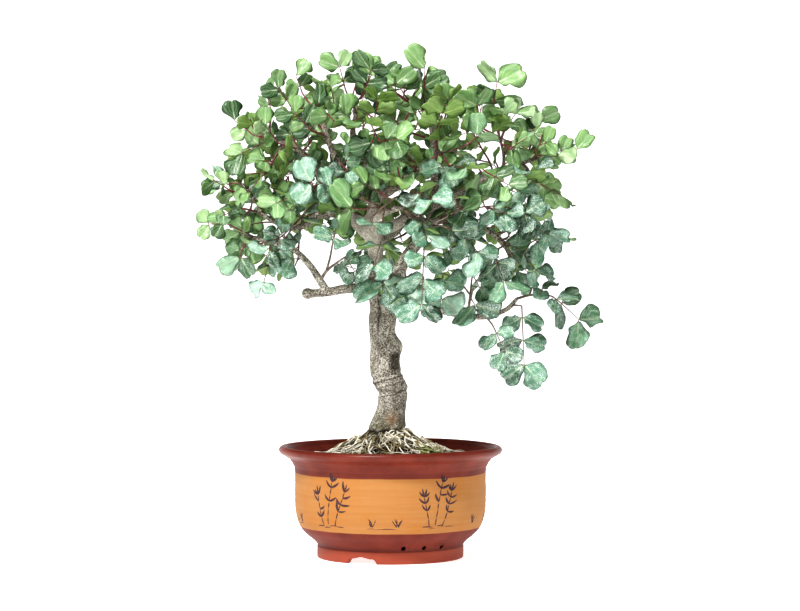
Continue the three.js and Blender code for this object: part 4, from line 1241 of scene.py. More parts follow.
def hump(z, angle, at_z, reach, at_angle, spread, height):
    turn = off_angle(angle, math.radians(at_angle))
    return height * np.exp(-(((z - at_z) / reach) ** 2) - (turn / math.radians(spread)) ** 2)


def crease(z, angle, at_z, rise, width, depth):
    level = at_z - rise * np.cos(angle)
    return -depth * np.exp(-(((z - level) / width) ** 2))


def trunk_outline(z, angle):
    humps = sum(hump(z, angle, *row) for row in HUMPS.values())
    creases = sum(crease(z, angle, *row) for row in CREASES)
    ripple = 0.035 * np.sin(3 * angle + z / 17) + 0.03 * np.sin(2 * angle - z / 11)
    swell = 0.05 * np.exp(-(((z - 190) / 4) ** 2))
    return 1 + humps + creases + ripple + swell


rows = smooth_line(TRUNK, 12)
levels = np.arange(rows[0][2], rows[-1][2], TRUNK_STEP)
centre_x, centre_y, radius = (np.interp(levels, rows[:, 2], rows[:, k]) for k in (0, 1, 3))
angle = np.arange(TRUNK_SIDES) * 2 * math.pi / TRUNK_SIDES
z, turn = np.meshgrid(levels, angle, indexing="ij")
reach = radius[:, None] * trunk_outline(z, turn)
x = centre_x[:, None] - reach * np.cos(turn)
y = centre_y[:, None] - reach * np.sin(turn)
top = (len(levels) - 1) * TRUNK_SIDES
caps = [tuple(reversed(range(TRUNK_SIDES))), tuple(range(top, top + TRUNK_SIDES))]
rings = np.stack([x, y, z], axis=-1).reshape(-1, 3)
trunk = skin("trunk", rings, ring_faces(len(levels), TRUNK_SIDES) + caps)
print("trunk skin", triangles(trunk), "triangles")

# %% [markdown]
# The mound of soil falls away from the trunk. Its height is needed twice: for the soil and for the
# roots that lie on it.

# %% The mound and the roots on it
SOIL_LEVEL = 114
MOUND_TOP = 141
MOUND_RADIUS = 72
TRUNK_RADIUS = 14


def mound_height(r):
    share = np.clip((r - TRUNK_RADIUS) / (MOUND_RADIUS - TRUNK_RADIUS), 0, 1)
    return SOIL_LEVEL + (MOUND_TOP - SOIL_LEVEL) * (1 - share) ** 1.15


def root_line(azimuth, reach, radius, index):
    t = np.linspace(0, 1, 9)
    r = 8 + (reach - 8) * t
    turn = math.radians(azimuth) + 0.22 * np.sin(3.2 * t + index * 1.7)
    sink = np.where(t == 1, -2.6, -0.3)
    z = mound_height(r) + 2 * (1 - t) ** 3 + sink
    rows = np.stack([-3 + r * np.sin(turn), -r * np.cos(turn), z, radius * (1.25 - 0.8 * t)], axis=1)
    return smooth_line(rows, 2)


thick_roots = [root_line(*row, i) for i, row in enumerate(ROOTS)]
print(len(thick_roots), "thick roots")

# %% [markdown]
# Limbs end in open air, under the leaves, so their tips are closed by the recipe. The knot where
# the big limbs part, the stub of a cut limb on the right and the sawn end of the low left limb are
# balls that melt in with the rest.

# %% Limbs, knot and stubs
LIMB_SIDES = 14
LOW_LIMBS = ("left_stem", "right_stem", "low_left", "low_left_rising", "low_right")
# Centre, radius and stretch along x, y and z.
KNOTS = [
    ((-22, 1, 367), 15, (1.05, 0.85, 0.8)),
    ((9, -1, 281), 6.5, (1, 1, 1)),
    ((-92, -14, 295), 6.2, (1.1, 0.9, 1)),
    ((-13, 3, 251), 5, (1, 1, 1.4)),
]


def from_shape(name, shape):
    mesh = bpy.data.meshes.new(name)
    shape.to_mesh(mesh)
    shape.free()
    return piece(name, mesh)


def ball(centre, radius, stretch):
    shape = bmesh.new()
    bmesh.ops.create_icosphere(shape, subdivisions=3, radius=radius * MM)
    bmesh.ops.scale(shape, vec=stretch, verts=shape.verts)
    bmesh.ops.translate(shape, vec=tuple(in_metres(centre)), verts=shape.verts)
    return from_shape("knot", shape)


def merged(name, things):
    """One object out of several, with their meshes side by side."""
    shape = bmesh.new()
    for thing in things:
        shape.from_mesh(thing.data)
        bpy.data.objects.remove(thing)
    return from_shape(name, shape)


bark = Paint("bark", roughness=0.9, specular=0.25)
limbs = tube_recipe("limbs", bark)
low = [limb_lines[name] for name in LOW_LIMBS]
high = [line for name, line in limb_lines.items() if name not in LOW_LIMBS]
low_tubes = tubes_of("low_limbs", low + thick_roots, limbs, LIMB_SIDES)
main_wood = merged("trunk_and_roots", [trunk, low_tubes, *(ball(*knot) for knot in KNOTS)])
high_wood = merged("limbs", [tubes_of("high_limbs", high, limbs, LIMB_SIDES)])
print("wood before melting:", triangles(main_wood), triangles(high_wood))

# %% [markdown]
# The remesh gives even little squares. Smoothing takes off their steps. The bark recipe then moves
# each point along its normal by two sizes of noise, and keeps how deep each point lies, so that the
# paint can put painted shade in the hollows.

# %% Melt and cover with bark
relief = Recipe("bark_relief", bark, Lump=0.0009, Grain=0.00035, Lump_size=60.0, Grain_size=260.0)


def bark_noise(size):
    sockets = {"Scale": relief.input(size), "Detail": 2.0, "Roughness": 0.5}
    return relief.add("ShaderNodeTexNoise", sockets) - 0.5


lump, grain = bark_noise("Lump_size"), bark_noise("Grain_size")
height = lump * relief.input("Lump") * 2 + grain * relief.input("Grain") * 2
kept = relief.store(relief.entry, "height", lump + grain * 0.6)
outwards = relief.add("GeometryNodeInputNormal")
relief.finish(relief.moved(kept, relief.scaled(outwards, height)))


def melted(thing, voxel):
    remesh = thing.modifiers.new("melt", "REMESH")
    remesh.mode = "VOXEL"
    remesh.voxel_size = voxel
    smooth = thing.modifiers.new("smooth", "SMOOTH")
    smooth.iterations = 3
    smooth.factor = 0.5
    return cooked(plain(thing), relief)


main_wood = dress(melted(main_wood, 0.00115), "bark", "trunk_and_limbs")
high_wood = dress(melted(high_wood, 0.00135), "bark")
print("wood:", triangles(main_wood), "and", triangles(high_wood), "triangles")

# %% [markdown]
# Carob bark is grey-beige with fine dark specks. Painted shade darkens it in hollows and creases, in
# the cave and in the groove between the stems, and painted light makes the knot paler where the
# crown shades it. It is greener near the soil, and there is a rusty patch low on the front. A
# painted shadow makes a dark line under the collar, and the roots beneath it are bare and pale.

# %% Paint the bark
CREASE_LINES = ((0.2035, 0.75), (0.1965, 0.5), (0.1855, 0.75))
x, y, z = bark.axes()


def strip(value, low, low_full, high_full, high):
    """1 between two levels in metres, with a soft edge on either side."""
    return value.ramp(low, low_full) * (1 - value.ramp(high_full, high))


def hairline(gap, sharpness):
    """1 where the gap in metres is nothing, and 0 beyond one part in sharpness."""
    return 1 - (abs(gap) * sharpness).least(1.0)


def wandering(level, scale, reach):
    return level + (bark.noise(scale, 2) - 0.5) * reach


# Painted shade: a dark line along each crease of the trunk, on its front.
def crease_shade_coat(level, depth):
    line = hairline(z - wandering(level + x * 0.28, 60, 0.004), 620)
    return line * depth * (1 - y.ramp(-0.03, -0.012)), "#40382c"


speckle = bark.noise(640, 2, 0.8).ramp(0.47, 0.56)
# Painted shade: the bark is darker where it lies deep in a hollow of the relief.
hollow_shade = 1 - bark.attribute("height").ramp(-0.16, 0.02)
pale_flecks = bark.noise(520, 2, 0.8).ramp(0.56, 0.64)
near_soil = (1 - z.ramp(0.144, 0.176)) * bark.noise(170, 3, 0.7).ramp(0.38, 0.58)
# Painted shade: the cave in the trunk is painted near black.
cave = bark.spot((4, -9, 215), 11).most(bark.spot((5, -9, 224), 11)) * (0.75 + speckle * 0.25)
# Painted shade: a dark line in the groove between the two stems, on the front.
stems_groove_shade = hairline(wandering(x, 45, 0.006) - float(in_metres((-13, 0, 0))[0]), 520)
stems_groove_shade = stems_groove_shade * strip(z, 0.249, 0.256, 0.284, 0.292) * (1 - y.ramp(-0.03, -0.024))
# Painted shadow: a dark line under the root collar.
collar_shadow = strip(wandering(z, 70, 0.006), 0.1375, 0.1395, 0.1415, 0.144)
bare_root = bark.mix(speckle, "#a89f84", "#4d4430")
bare_root = bark.mix(bark.noise(130, 3, 0.7).ramp(0.38, 0.5) * 0.9, bare_root, "#1e1911")
tint = bark.coated(
    bark.mix(bark.noise(55, 3, 0.6).ramp(0.3, 0.65), "#9f988d", "#d5cfc4"),
    (speckle * 0.85, "#403829"),
    (hollow_shade * 0.4, "#4c4234"),
    (pale_flecks * 0.65, "#efebdc"),
    (z.ramp(0.34, 0.42) * 0.35, "#7a6655"),
    # Painted light: a paler spot on the knot, where the crown shades it.
    (bark.spot((-16, -12, 362), 46) * 0.4, "#e2dbce"),
    (near_soil * 0.62, "#5d5a30"),
    (bark.spot((2, -20, 156), 11) * speckle * 0.6, "#a4703f"),
    (cave * 0.92, "#261f16"),
    (stems_groove_shade * 0.8, "#2f281d"),
    (collar_shadow * 0.88, "#211b12"),
    *(crease_shade_coat(*line) for line in CREASE_LINES),
    ((1 - z.ramp(0.1365, 0.139)) * 0.85, bare_root),
)
bark.set("Base Color", tint)
bark.bump(bark.noise(900, 3, 0.7) * 0.7 + bark.noise(250, 2) * 0.5 - speckle * 0.5, 0.0011, 0.9)
print("bark painted")

# %% [markdown]
# ## The soil
#
# The soil is near black where it is wet and brown where it has dried. Its top is a fine grid bent
# to the mound, with crumbs of grit strewn over it by a recipe. Below the surface it only has to
# fill the pot, so its side follows the inside of the wall in a few rings.

# %% The body of the soil
GAP = 0.3
FLOOR = 15
BOWL = [
    (81.6, 15), (84.5, 19), (95.6, 28.5), (101.3, 36), (105.5, 49), (106.8, 63), (106.8, 96),
    (108.6, 104), (113, 111),
]
INNER_WALL = [(76, FLOOR), (91, 29), (99.5, 51), (100.8, 96), (109, SOIL_LEVEL)]
SOIL_SIDES = 160
SOIL_REACH = 106
SOIL_EDGE = 8
SOIL_SINK = 1.2
MOUND_X = -1
WAVE_HEIGHT = 0.011
noise_rng = np.random.default_rng(7)
WAVES = []
for size in np.geomspace(5, 42, 26):
    way = noise_rng.uniform(-1, 1, 2) * 2 * math.pi / size
    WAVES.append((way, noise_rng.uniform(0, 6.28), size))


def soil_height(x, y):
    r = np.hypot(x - MOUND_X, y)
    edge = np.clip((SOIL_REACH - r) / SOIL_EDGE, 0, 1)
    waves = sum(size * WAVE_HEIGHT * np.sin(way @ (x, y) + turn) for way, turn, size in WAVES)
    return mound_height(r) - SOIL_SINK + waves * edge


def lathe(name, profile, sides, is_ring=False):
    """A body of turning from rows of radius and height. Its ends are closed in the middle, or it is
    a ring, whose last row joins the first."""
    angle = np.arange(sides) * 2 * math.pi / sides
    points = [(r * math.cos(a), r * math.sin(a), z) for r, z in profile for a in angle]
    faces = ring_faces(len(profile), sides)
    last = len(points) - sides
    low, high = len(points), len(points) + 1
    for k in range(sides):
        following = (k + 1) % sides
        if is_ring:
            faces.append((last + k, last + following, following, k))
        else:
            faces += [(low, following, k), (high, last + k, last + following)]
    if not is_ring:
        points += [(0, 0, profile[0][1]), (0, 0, profile[-1][1])]
    return skin(name, points, faces)


side = [(r - GAP, z + (GAP if i == 0 else 0)) for i, (r, z) in enumerate(INNER_WALL)]
top = [(r, 0) for r in np.linspace(107.5, 2, 64)]
soil = lathe("soil_mound", side + top, SOIL_SIDES)
points = points_of(soil)
on_top = (points[:, 2] < 0.001) | (points[:, 2] > SOIL_LEVEL - 0.5)
points[on_top, 2] = soil_height(points[on_top, 0], points[on_top, 1])
move_points(soil, points)
print("soil", triangles(soil), "triangles")

# %% [markdown]
# Grit lies wherever the surface looks up. Points are strewn on the faces with a density, each gets
# a small uneven stone, turned and sized by chance, and the stones join the soil as one piece.

# %% Grit on the soil
earth = Paint("potting_soil", roughness=0.95, specular=0.15)
grit = Recipe("grit", earth, Crumbs_per_area=42000.0, Least=0.0005, Most=0.0016, Chance=3)
spots = grit.strewn(grit.input("Crumbs_per_area"), grit.input("Chance"), 0.4)
crumb = grit.add("GeometryNodeMeshIcoSphere", {"Radius": 1.0, "Subdivisions": 1})
size = grit.chance(grit.input("Least"), grit.input("Most"), grit.input("Chance"))
spin = grit.turns((0, 0, 0), (6.28, 6.28, 6.28))
stones = grit.copies(spots, crumb, spin, grit.xyz(size, size * 0.8, size * 0.65))
grit.finish(grit.joined(grit.entry, stones))
soil = dress(cooked(painted(soil, earth), grit), "soil", "soil")
damp = earth.noise(70, 3, 0.6).ramp(0.35, 0.65)
flecks = earth.noise(800, 2).ramp(0.6, 0.72)
earth.set("Base Color", earth.coated(earth.mix(damp, "#1a140f", "#46352a"), (flecks * 0.5, "#9a8468")))
earth.bump(earth.noise(500, 3, 0.7), 0.0012, 0.8)
print("soil with grit", triangles(soil), "triangles")

# %% [markdown]
# ## Rootlets
#
# A tangle of cream-white roots covers the mound. Each is a walk that starts beside the trunk or a
# thick root and strays as it runs out, lying on the soil here and arching over a neighbour there.
# The recipe for the limbs makes them tubes too, with fewer sides and a paint of their own.

# %% Walks over the mound
ROOTLETS = 400
ROOTLET_SIDES = 4
WALK_STEP = 2.6
WALK_EDGE = 96
# Ranges of the draws for a rootlet: strays and bends in radians, steps, height of its arches in
# millimetres and their number.
STRAY = (-1.1, 1.1)
WALK_STEPS = (6, 24)
ARCH = (0.4, 6.5)
ARCHES = (0.6, 2.4)
BEND = (-0.28, 0.28)
BEND_KEPT = 0.75
LIES_ABOVE = 1.2
END_SINK = 2.2
walks = Draws(5081)


def rootlet():
    azimuth = walks(0, 2 * math.pi)
    r = 15 + 46 * walks(0, 1) ** 1.5
    x, y = -2 + r * math.sin(azimuth), -r * math.cos(azimuth)
    heading = azimuth + walks(*STRAY)
    steps = int(walks(*WALK_STEPS))
    arch, arches, turn = walks(*ARCH), walks(*ARCHES), walks(0, 6.28)
    radius = 0.42 + 1.15 * walks(0, 1) ** 2.2
    bend = 0.0
    rows = []
    for k in range(steps + 1):
        t = k / steps
        rise = abs(math.sin(arches * math.pi * t + turn)) * arch
        z = float(soil_height(x, y)) + LIES_ABOVE + radius * 0.5 + rise * (1 - t * 0.5)
        if k in (0, steps):
            z -= END_SINK
        rows.append((x, y, z, radius * (1 - 0.55 * t)))
        bend = BEND_KEPT * bend + walks(*BEND)
        heading += bend
        x += WALK_STEP * math.sin(heading)
        y -= WALK_STEP * math.cos(heading)
        if math.hypot(x, y) > WALK_EDGE:
            break
    return smooth_line(rows, 2) if len(rows) > 3 else None


rootlets = [line for line in (rootlet() for _ in range(ROOTLETS)) if line is not None]
shades = np.concatenate([[walks(0, 1)] * len(rows) for rows in rootlets])
lifts = np.concatenate([rows[:, 2] - soil_height(rows[:, 0], rows[:, 1]) for rows in rootlets])
root_skin = Paint("rootlets", roughness=0.75, specular=0.3)
recipe = tube_recipe("rootlets", root_skin)
tangle = tubes_of("surface_rootlets", rootlets, recipe, ROOTLET_SIDES, shade=shades, lift=lifts)
dress(tangle, "bark")
tint = root_skin.coated(
    root_skin.mix(root_skin.attribute("shade").ramp(0.3, 0.9), "#f4efe2", "#8d7e5d"),
    # Painted shade: rootlets are darker where they lie close to the soil.
    ((1 - root_skin.attribute("lift").ramp(1.2, 3.4)) * 0.75, "#4a3f2b"),
    (root_skin.noise(300, 3, 0.7).ramp(0.55, 0.72) * 0.6, "#5f553d"),
    (root_skin.spot((46, -38, 120), 24) * 0.35, "#8b9142"),
)
root_skin.set("Base Color", tint)
root_skin.bump(root_skin.noise(1100, 2), 0.0003, 0.5)
print(len(rootlets), "rootlets,", triangles(tangle), "triangles")

# %% [markdown]
# ## Moss
#
# Moss grows in one patch at the front right of the mound, with a few small cushions elsewhere.
# It is made of many little upright tufts, strewn on low domes that follow the soil.

# %% Moss cushions
# Place and reach of each patch.
MOSS = [((46, -38), 19), ((-34, -44), 7), ((-20, 52), 12), ((38, 40), 8)]
MOSS_RINGS = 7
MOSS_SIDES = 20
MOSS_HEIGHT = 2.4
MOSS_SINK = 1.2


def dome(x0, y0, reach, first):
    points = [(x0, y0, float(soil_height(x0, y0)) + MOSS_HEIGHT)]
    faces = []
    for i in range(1, MOSS_RINGS + 1):
        lift = MOSS_HEIGHT * (1 - (i / MOSS_RINGS) ** 2) - (MOSS_SINK if i == MOSS_RINGS else 0)
        for k in range(MOSS_SIDES):
            a = 2 * math.pi * k / MOSS_SIDES
            wobble = 1 + 0.18 * math.sin(3 * a + x0) + 0.1 * math.sin(5 * a + y0)
            r = reach * i / MOSS_RINGS * wobble
            x, y = x0 + r * math.cos(a), y0 + r * math.sin(a)
            points.append((x, y, float(soil_height(x, y)) + lift))
    for k in range(MOSS_SIDES):
        a, b = first + 1 + k, first + 1 + (k + 1) % MOSS_SIDES
        faces.append((first, a, b))
        for ring in range(0, (MOSS_RINGS - 1) * MOSS_SIDES, MOSS_SIDES):
            outer = ring + MOSS_SIDES
            faces.append((a + ring, a + outer, b + outer, b + ring))
    end = first + len(points)
    faces.append(tuple(range(end - 1, end - 1 - MOSS_SIDES, -1)))
    return points, faces


points, faces = [], []
for (x0, y0), reach in MOSS:
    more_points, more_faces = dome(x0, y0, reach, len(points))
    points += more_points
    faces += more_faces
moss_paint = Paint("moss", roughness=0.95, specular=0.1)
moss = Recipe("moss", moss_paint, Tufts_per_area=1800000.0, Tuft_height=0.0022, Chance=11)
spots = moss.strewn(moss.input("Tufts_per_area"), moss.input("Chance"), 0.2)
tuft = moss.add(
    "GeometryNodeMeshCone",
    {"Vertices": 4, "Radius Top": 0.02, "Radius Bottom": 0.22, "Depth": 1.0},
)
lean = moss.turns((-0.6, -0.6, 0), (0.6, 0.6, 6.28))
tall = moss.chance(0.5, 1.0, moss.input("Chance")) * moss.input("Tuft_height")
tufts = moss.copies(spots, tuft, lean, moss.xyz(tall, tall, tall))
moss.finish(moss.joined(moss.entry, tufts))
cushions = dress(cooked(skin("moss", points, faces), moss), "soil")
green = moss_paint.noise(220, 3).ramp(0.35, 0.65)
moss_paint.set("Base Color", moss_paint.mix(green, "#46541c", "#8c9a3a"))
print("moss", triangles(cushions), "triangles")

# %% [markdown]
# ## The pot
#
# A thrown pot is a body of turning, so its profile is turned round the middle. The potter's hand
# shows in a rim that waves a little and in faint rings. The foot ring was cut in three places, and
# three small holes run through the wall above it.

# %% Turn the pot
POT_SIDES = 240
RIM_RADIUS = 125
POT_HEIGHT = 125
ROLL = 4.5
RIM_FOOT = 96
FOOT_RADIUS = 81.7
FOOT_WIDTH = 9
RECESS = 9
DRAIN_RADIUS = 12
INSIDE_STEP = 9
POT_STEP = 2.6
FEET = {"count": 3, "first_gap": -23, "gap_width": 34, "gap_height": 8}
SIDE_HOLES = {"azimuths": (10, 26.5, 42.5), "height": 18, "radius": 2.5, "at_radius": 84}
bowl = smooth_line([(r, z, 0) for r, z in BOWL], 5)[:, :2]


def finer(profile, longest):
    """The same profile with points added on long stretches."""
    out = [profile[0]]
    for (r0, z0), (r1, z1) in zip(profile, profile[1:]):
        n = max(1, math.ceil(math.hypot(r1 - r0, z1 - z0) / longest))
        out += [(r0 + (r1 - r0) * i / n, z0 + (z1 - z0) * i / n) for i in range(1, n + 1)]
    return out


def pot_profile():
    angles = np.radians(np.linspace(-50, 180, 16))
    lip_r, lip_z = RIM_RADIUS - ROLL, POT_HEIGHT - ROLL
    lip = [(lip_r + ROLL * math.cos(a), lip_z + ROLL * math.sin(a)) for a in angles]
    inner = FOOT_RADIUS - FOOT_WIDTH
    foot = [
        (DRAIN_RADIUS, RECESS), (inner, RECESS), (inner + 0.6, 1), (inner + 1.6, 0),
        (FOOT_RADIUS - 1.9, 0), (FOOT_RADIUS - 0.5, 0.6), (FOOT_RADIUS, 2),
        (FOOT_RADIUS + 0.2, 13.6), (FOOT_RADIUS - 0.5, 14.4),
    ]
    inside = finer(INNER_WALL[::-1], INSIDE_STEP) + [(DRAIN_RADIUS, FLOOR)]
    return finer([*foot, *map(tuple, bowl), *lip, *inside], POT_STEP)


def arch(angle, r):
    """How high the foot ring is cut away at an angle."""
    height = np.zeros_like(angle)
    for i in range(FEET["count"]):
        middle = math.radians(FEET["first_gap"] + 360 / FEET["count"] * i - 90)
        share = np.clip(np.abs(off_angle(angle, middle) * r) / (FEET["gap_width"] / 2), 0, 1)
        shoulder = 0.72 * np.clip((1 - share) / 0.12, 0, 1) ** 0.6
        crown = 0.28 * np.clip(1 - share / 0.5, 0, 1) ** 0.7
        height = np.maximum(height, FEET["gap_height"] * (shoulder + crown))
    return height


def shaped_by_hand(points):
    """Foot ring cut, rim a little uneven, faint rings from throwing."""
    x, y, z = points.T
    r, angle = np.hypot(x, y), np.arctan2(y, x)
    ring = (r > FOOT_RADIUS - FOOT_WIDTH - 0.5) & (z < RECESS + 0.01) & (r < FOOT_RADIUS + 1)
    z = np.where(ring, np.maximum(z, np.minimum(arch(angle, r), RECESS)), z)
    high = np.clip((z - RIM_FOOT) / (POT_HEIGHT - RIM_FOOT), 0, 1)
    wave = 0.45 * np.sin(2 * angle + 0.7) + 0.3 * np.sin(5 * angle + 2) + 0.15 * np.sin(9 * angle)
    thrown = 0.12 * np.sin(z * 1.1) + 0.08 * np.sin(z * 2.3 + 1 + np.sin(angle))
    wider = high * (wave * 0.5 - 0.4) + np.where((r > 78) & (z > 16), thrown, 0)
    scale = (r + wider) / np.maximum(r, 1e-6)
    z = z - high * (0.35 + 0.32 * np.sin(3 * angle + 1))
    return np.stack([x * scale, y * scale, z], axis=1)


pot = lathe("clay_pot", pot_profile(), POT_SIDES, is_ring=True)
move_points(pot, shaped_by_hand(points_of(pot)))
print("pot", triangles(pot), "triangles before its holes")

# %% [markdown]
# The side holes are cut with a Boolean modifier and three small cylinders.

# %% Side holes
DRILL_SIDES = 20
DRILL_LENGTH = 0.024


def drill(azimuth):
    shape = bmesh.new()
    radius = SIDE_HOLES["radius"] * MM
    sizes = {"segments": DRILL_SIDES, "radius1": radius, "radius2": radius, "depth": DRILL_LENGTH}
    bmesh.ops.create_cone(shape, cap_ends=True, **sizes)
    turn = math.radians(azimuth)
    out, side = vec(math.sin(turn), -math.cos(turn), 0), vec(math.cos(turn), math.sin(turn), 0)
    middle = in_metres(out * SIDE_HOLES["at_radius"] + UP * SIDE_HOLES["height"])
    for vertex in shape.verts:
        x, y, z = vertex.co
        vertex.co = tuple(middle + out * z + side * x + UP * y)
    bmesh.ops.recalc_face_normals(shape, faces=shape.faces)
    return from_shape("drill", shape)


drills = merged("drills", [drill(azimuth) for azimuth in SIDE_HOLES["azimuths"]])
cut = pot.modifiers.new("side_holes", "BOOLEAN")
cut.operation = "DIFFERENCE"
cut.object = drills
cut.solver = "EXACT"
pot = plain(pot)
bpy.data.objects.remove(drills)
pot.data.polygons.foreach_set("use_smooth", [True] * len(pot.data.polygons))
clay = Paint("red_brown_clay", roughness=0.5, specular=0.28)
dress(painted(pot, clay), "clay", "pot")
print("pot", triangles(pot), "triangles")

# %% [markdown]
# The clay is red-brown, a little glossy where hands have polished the rim, and brighter on the
# foot. A painted shadow darkens the clay just above the foot, where the body meets it. A band of
# yellow slip was brushed on while the pot turned, so its streaks run round the belly, and its
# edges waver.

# %% Paint the clay and the slip
BAND_LOW, BAND_HIGH = 0.0352, 0.0958
x, y, z = clay.axes()
mottle = clay.noise(38, 4, 0.6)
fine = clay.noise(420, 3, 0.6)
body = clay.coated(
    clay.mix(mottle.ramp(0.3, 0.7), "#6b2e23", "#7b392c"),
    (fine.ramp(0.55, 0.8) * 0.35, "#522018"),
    ((1 - z.ramp(0.0125, 0.0155)) * 0.8, "#a3543f"),
    # Painted shadow: a dark strip just above the foot, where the body meets it.
    (strip(z, 0.0128, 0.0142, 0.0155, 0.019) * 0.5, "#5c2a22"),
)
sockets = {0: x * 6.0, 1: y * 6.0, 2: z * 160.0}
streaks = clay.noise(1.6, 4, 0.6, clay.add("ShaderNodeCombineXYZ", sockets))
slip = clay.coated(
    clay.mix(streaks.ramp(0.3, 0.7) * 0.5, "#a97845", "#b28554"),
    (clay.noise(30, 3).ramp(0.42, 0.75) * 0.6, "#ad7233"),
    (fine.ramp(0.62, 0.8) * 0.2, "#a96a30"),
)
level = z + (clay.noise(22, 2) - 0.5) * 0.0016
band = strip(level, BAND_LOW - 0.0002, BAND_LOW + 0.0004, BAND_HIGH - 0.0004, BAND_HIGH + 0.0002)
edge = hairline(level - BAND_LOW, 1200).most(hairline(level - BAND_HIGH, 1500))
clay.set("Base Color", clay.coated(clay.mix(band, body, slip), (edge * 0.35, "#74352a")))
clay.set("Roughness", 0.5 + mottle * 0.12 - z.ramp(0.108, 0.118) * 0.2 + band * 0.06)
clay.bump(fine * 0.6 + streaks * band * 0.25, 0.0005, 0.5)
print("pot painted")

# %% [markdown]
# ## The incised band
#
# The band carries plain drawing scratched through the slip with a pointed stick: bamboo canes with
# leaf strokes, tufts of grass and a few low dashes of ground. Each stroke is a thin line of points on
# the belly, wide in its middle and thin at its ends. The tube recipe makes it round, and then it is
# pressed flat, so that only its face shows in the slip.

# %% Strokes on the belly
BELLY_RADIUS = 106.8
BAND_MIDDLE = 65.5
BOLDNESS = 1.6
SUNK = 0.12
STROKE_SIDES = 6
JOINT_GAP = 0.7
GRASS_FOOT = -22
pen = Draws(613)


def belly_radius(z):
    return np.interp(z, bowl[:, 1], bowl[:, 0])


def stroke(around, up, angle, length, width, bow=0.0):
    """A stroke that starts at a place on the band, in millimetres round and up from its middle."""
    turn = math.radians(angle)
    rows = []
    for k in range(9):
        t = k / 8
        off = bow * math.sin(math.pi * t)
        azimuth = (around + length * t * math.cos(turn) - off * math.sin(turn)) / BELLY_RADIUS
        z = BAND_MIDDLE + up + length * t * math.sin(turn) + off * math.cos(turn)
        r = float(belly_radius(z)) - SUNK
        taper = max(0.25, math.sin(math.pi * min(1, 0.12 + 0.86 * t))) ** 0.7
        rows.append((r * math.sin(azimuth), -r * math.cos(azimuth), z, BOLDNESS * width * taper / 2))
    return np.array(rows)


def cane(around, up, lean, joints):
    """A bamboo cane of short stretches with leaf strokes at its upper joints."""
    out = []
    for k in range(joints):
        length = 8.5 - 0.5 * k
        out.append(stroke(around, up, lean, length, 0.9, 0.15))
        around += (length + JOINT_GAP) * math.cos(math.radians(lean))
        up += (length + JOINT_GAP) * math.sin(math.radians(lean))
        lean += pen(-5, 5)
        for side in (-1, 1):
            if k > joints - 5 and pen(0, 1) < 0.8:
                way = lean + side * pen(38, 80) - 20 * (side > 0)
                out.append(stroke(around, up, way, pen(7, 12), pen(1.3, 2.1), side * 0.8))
    for side in (-1, 0, 1):
        out.append(stroke(around, up, lean + 32 * side, pen(7, 10), pen(1.2, 1.8), side * 0.6))
    return out


def grass_blade(around):
    around += pen(-2, 2)
    return stroke(around, GRASS_FOOT, pen(50, 130), pen(5, 11), pen(0.6, 1.0), pen(-1.5, 1.5))


def dash(around, up):
    return stroke(around + pen(-2, 2), up + pen(-2.2, 2.2), pen(-4, 4), pen(9, 19), pen(0.5, 0.9), 0.5)


strokes = []
for middle in (-250, -75, 52, 190):
    strokes += cane(middle, -21, 84, 6)
    strokes += cane(middle + 9, -23, 70, 5)
    strokes += cane(middle - 7, -22, 102, 4)
    strokes += [dash(middle - 16 + 9 * k, -24) for k in range(4)]
for middle in (-300, -190, -128, -20, 8, 112, 150, 250, 300):
    strokes += [grass_blade(middle) for _ in range(5)]
for middle in (-28, 140, 232, -150):
    strokes += [dash(middle + 9 * k, -23) for k in range(3)]
print(len(strokes), "strokes")

# %% Make the strokes
incised = Paint("incised_line", roughness=0.7, specular=0.3)
drawing = tubes_of("incised_strokes", strokes, tube_recipe("strokes", incised), STROKE_SIDES)
points = points_of(drawing)
r, on_belly = np.hypot(points[:, 0], points[:, 1]), belly_radius(points[:, 2])
wanted = on_belly + np.clip(r - on_belly + SUNK, -1, 1) * 0.22 + 0.02
points[:, :2] *= (wanted / r)[:, None]
move_points(drawing, points)
dress(drawing, "clay")
incised.set("Base Color", incised.mix(incised.noise(500, 2).ramp(0.4, 0.65), "#43303a", "#5f4340"))
print("incised drawing", triangles(drawing), "triangles")

# %% [markdown]
# ## The drain mesh
#
# A square of black plastic mesh lies over the drainage hole, under the soil. Nobody sees it, but it
# keeps the soil in. Its bars are a grid of lines made into thin tubes.

# %% Weave the drain mesh
DRAIN_SIDE = 34
DRAIN_THICKNESS = 1.2
DRAIN_HOLES = 9
BAR_SIDES = 8
plastic = Paint("black_plastic_mesh", roughness=0.55, specular=0.4)
plastic.set("Base Color", colour("#1c1f22"))
half = (DRAIN_SIDE - DRAIN_THICKNESS) / 2
level = FLOOR + GAP + DRAIN_THICKNESS / 2
rungs = np.linspace(-half, half, DRAIN_HOLES + 1)
bars = [[(a, -half, level), (a, half, level)] for a in rungs]
bars += [[(-half, a, level), (half, a, level)] for a in rungs]
rows_list = [np.array([(*end, DRAIN_THICKNESS / 2) for end in bar]) for bar in bars]
recipe = tube_recipe("drain_mesh", plastic)
drain = tubes_of("plastic_drain_mesh", rows_list, recipe, BAR_SIDES)
dress(drain, "mesh_plastic", "drain_mesh")
print("drain mesh of", len(bars), "bars")

# %% [markdown]
# ## Paint the leaves
#
# The upper side of a leaflet shows a pale midrib and faint side veins. The underside is a plainer
# green, made livelier by painted light that stands in for light shining through the leaf. Most
# leaflets are a middle green, a few are much darker and a few much paler, and those deep inside
# the crown are darker still from painted shade. The bloom on old leaves is fine pale flecks, in
# drifts. Twigs are wine red where they are young and brown where they are old.

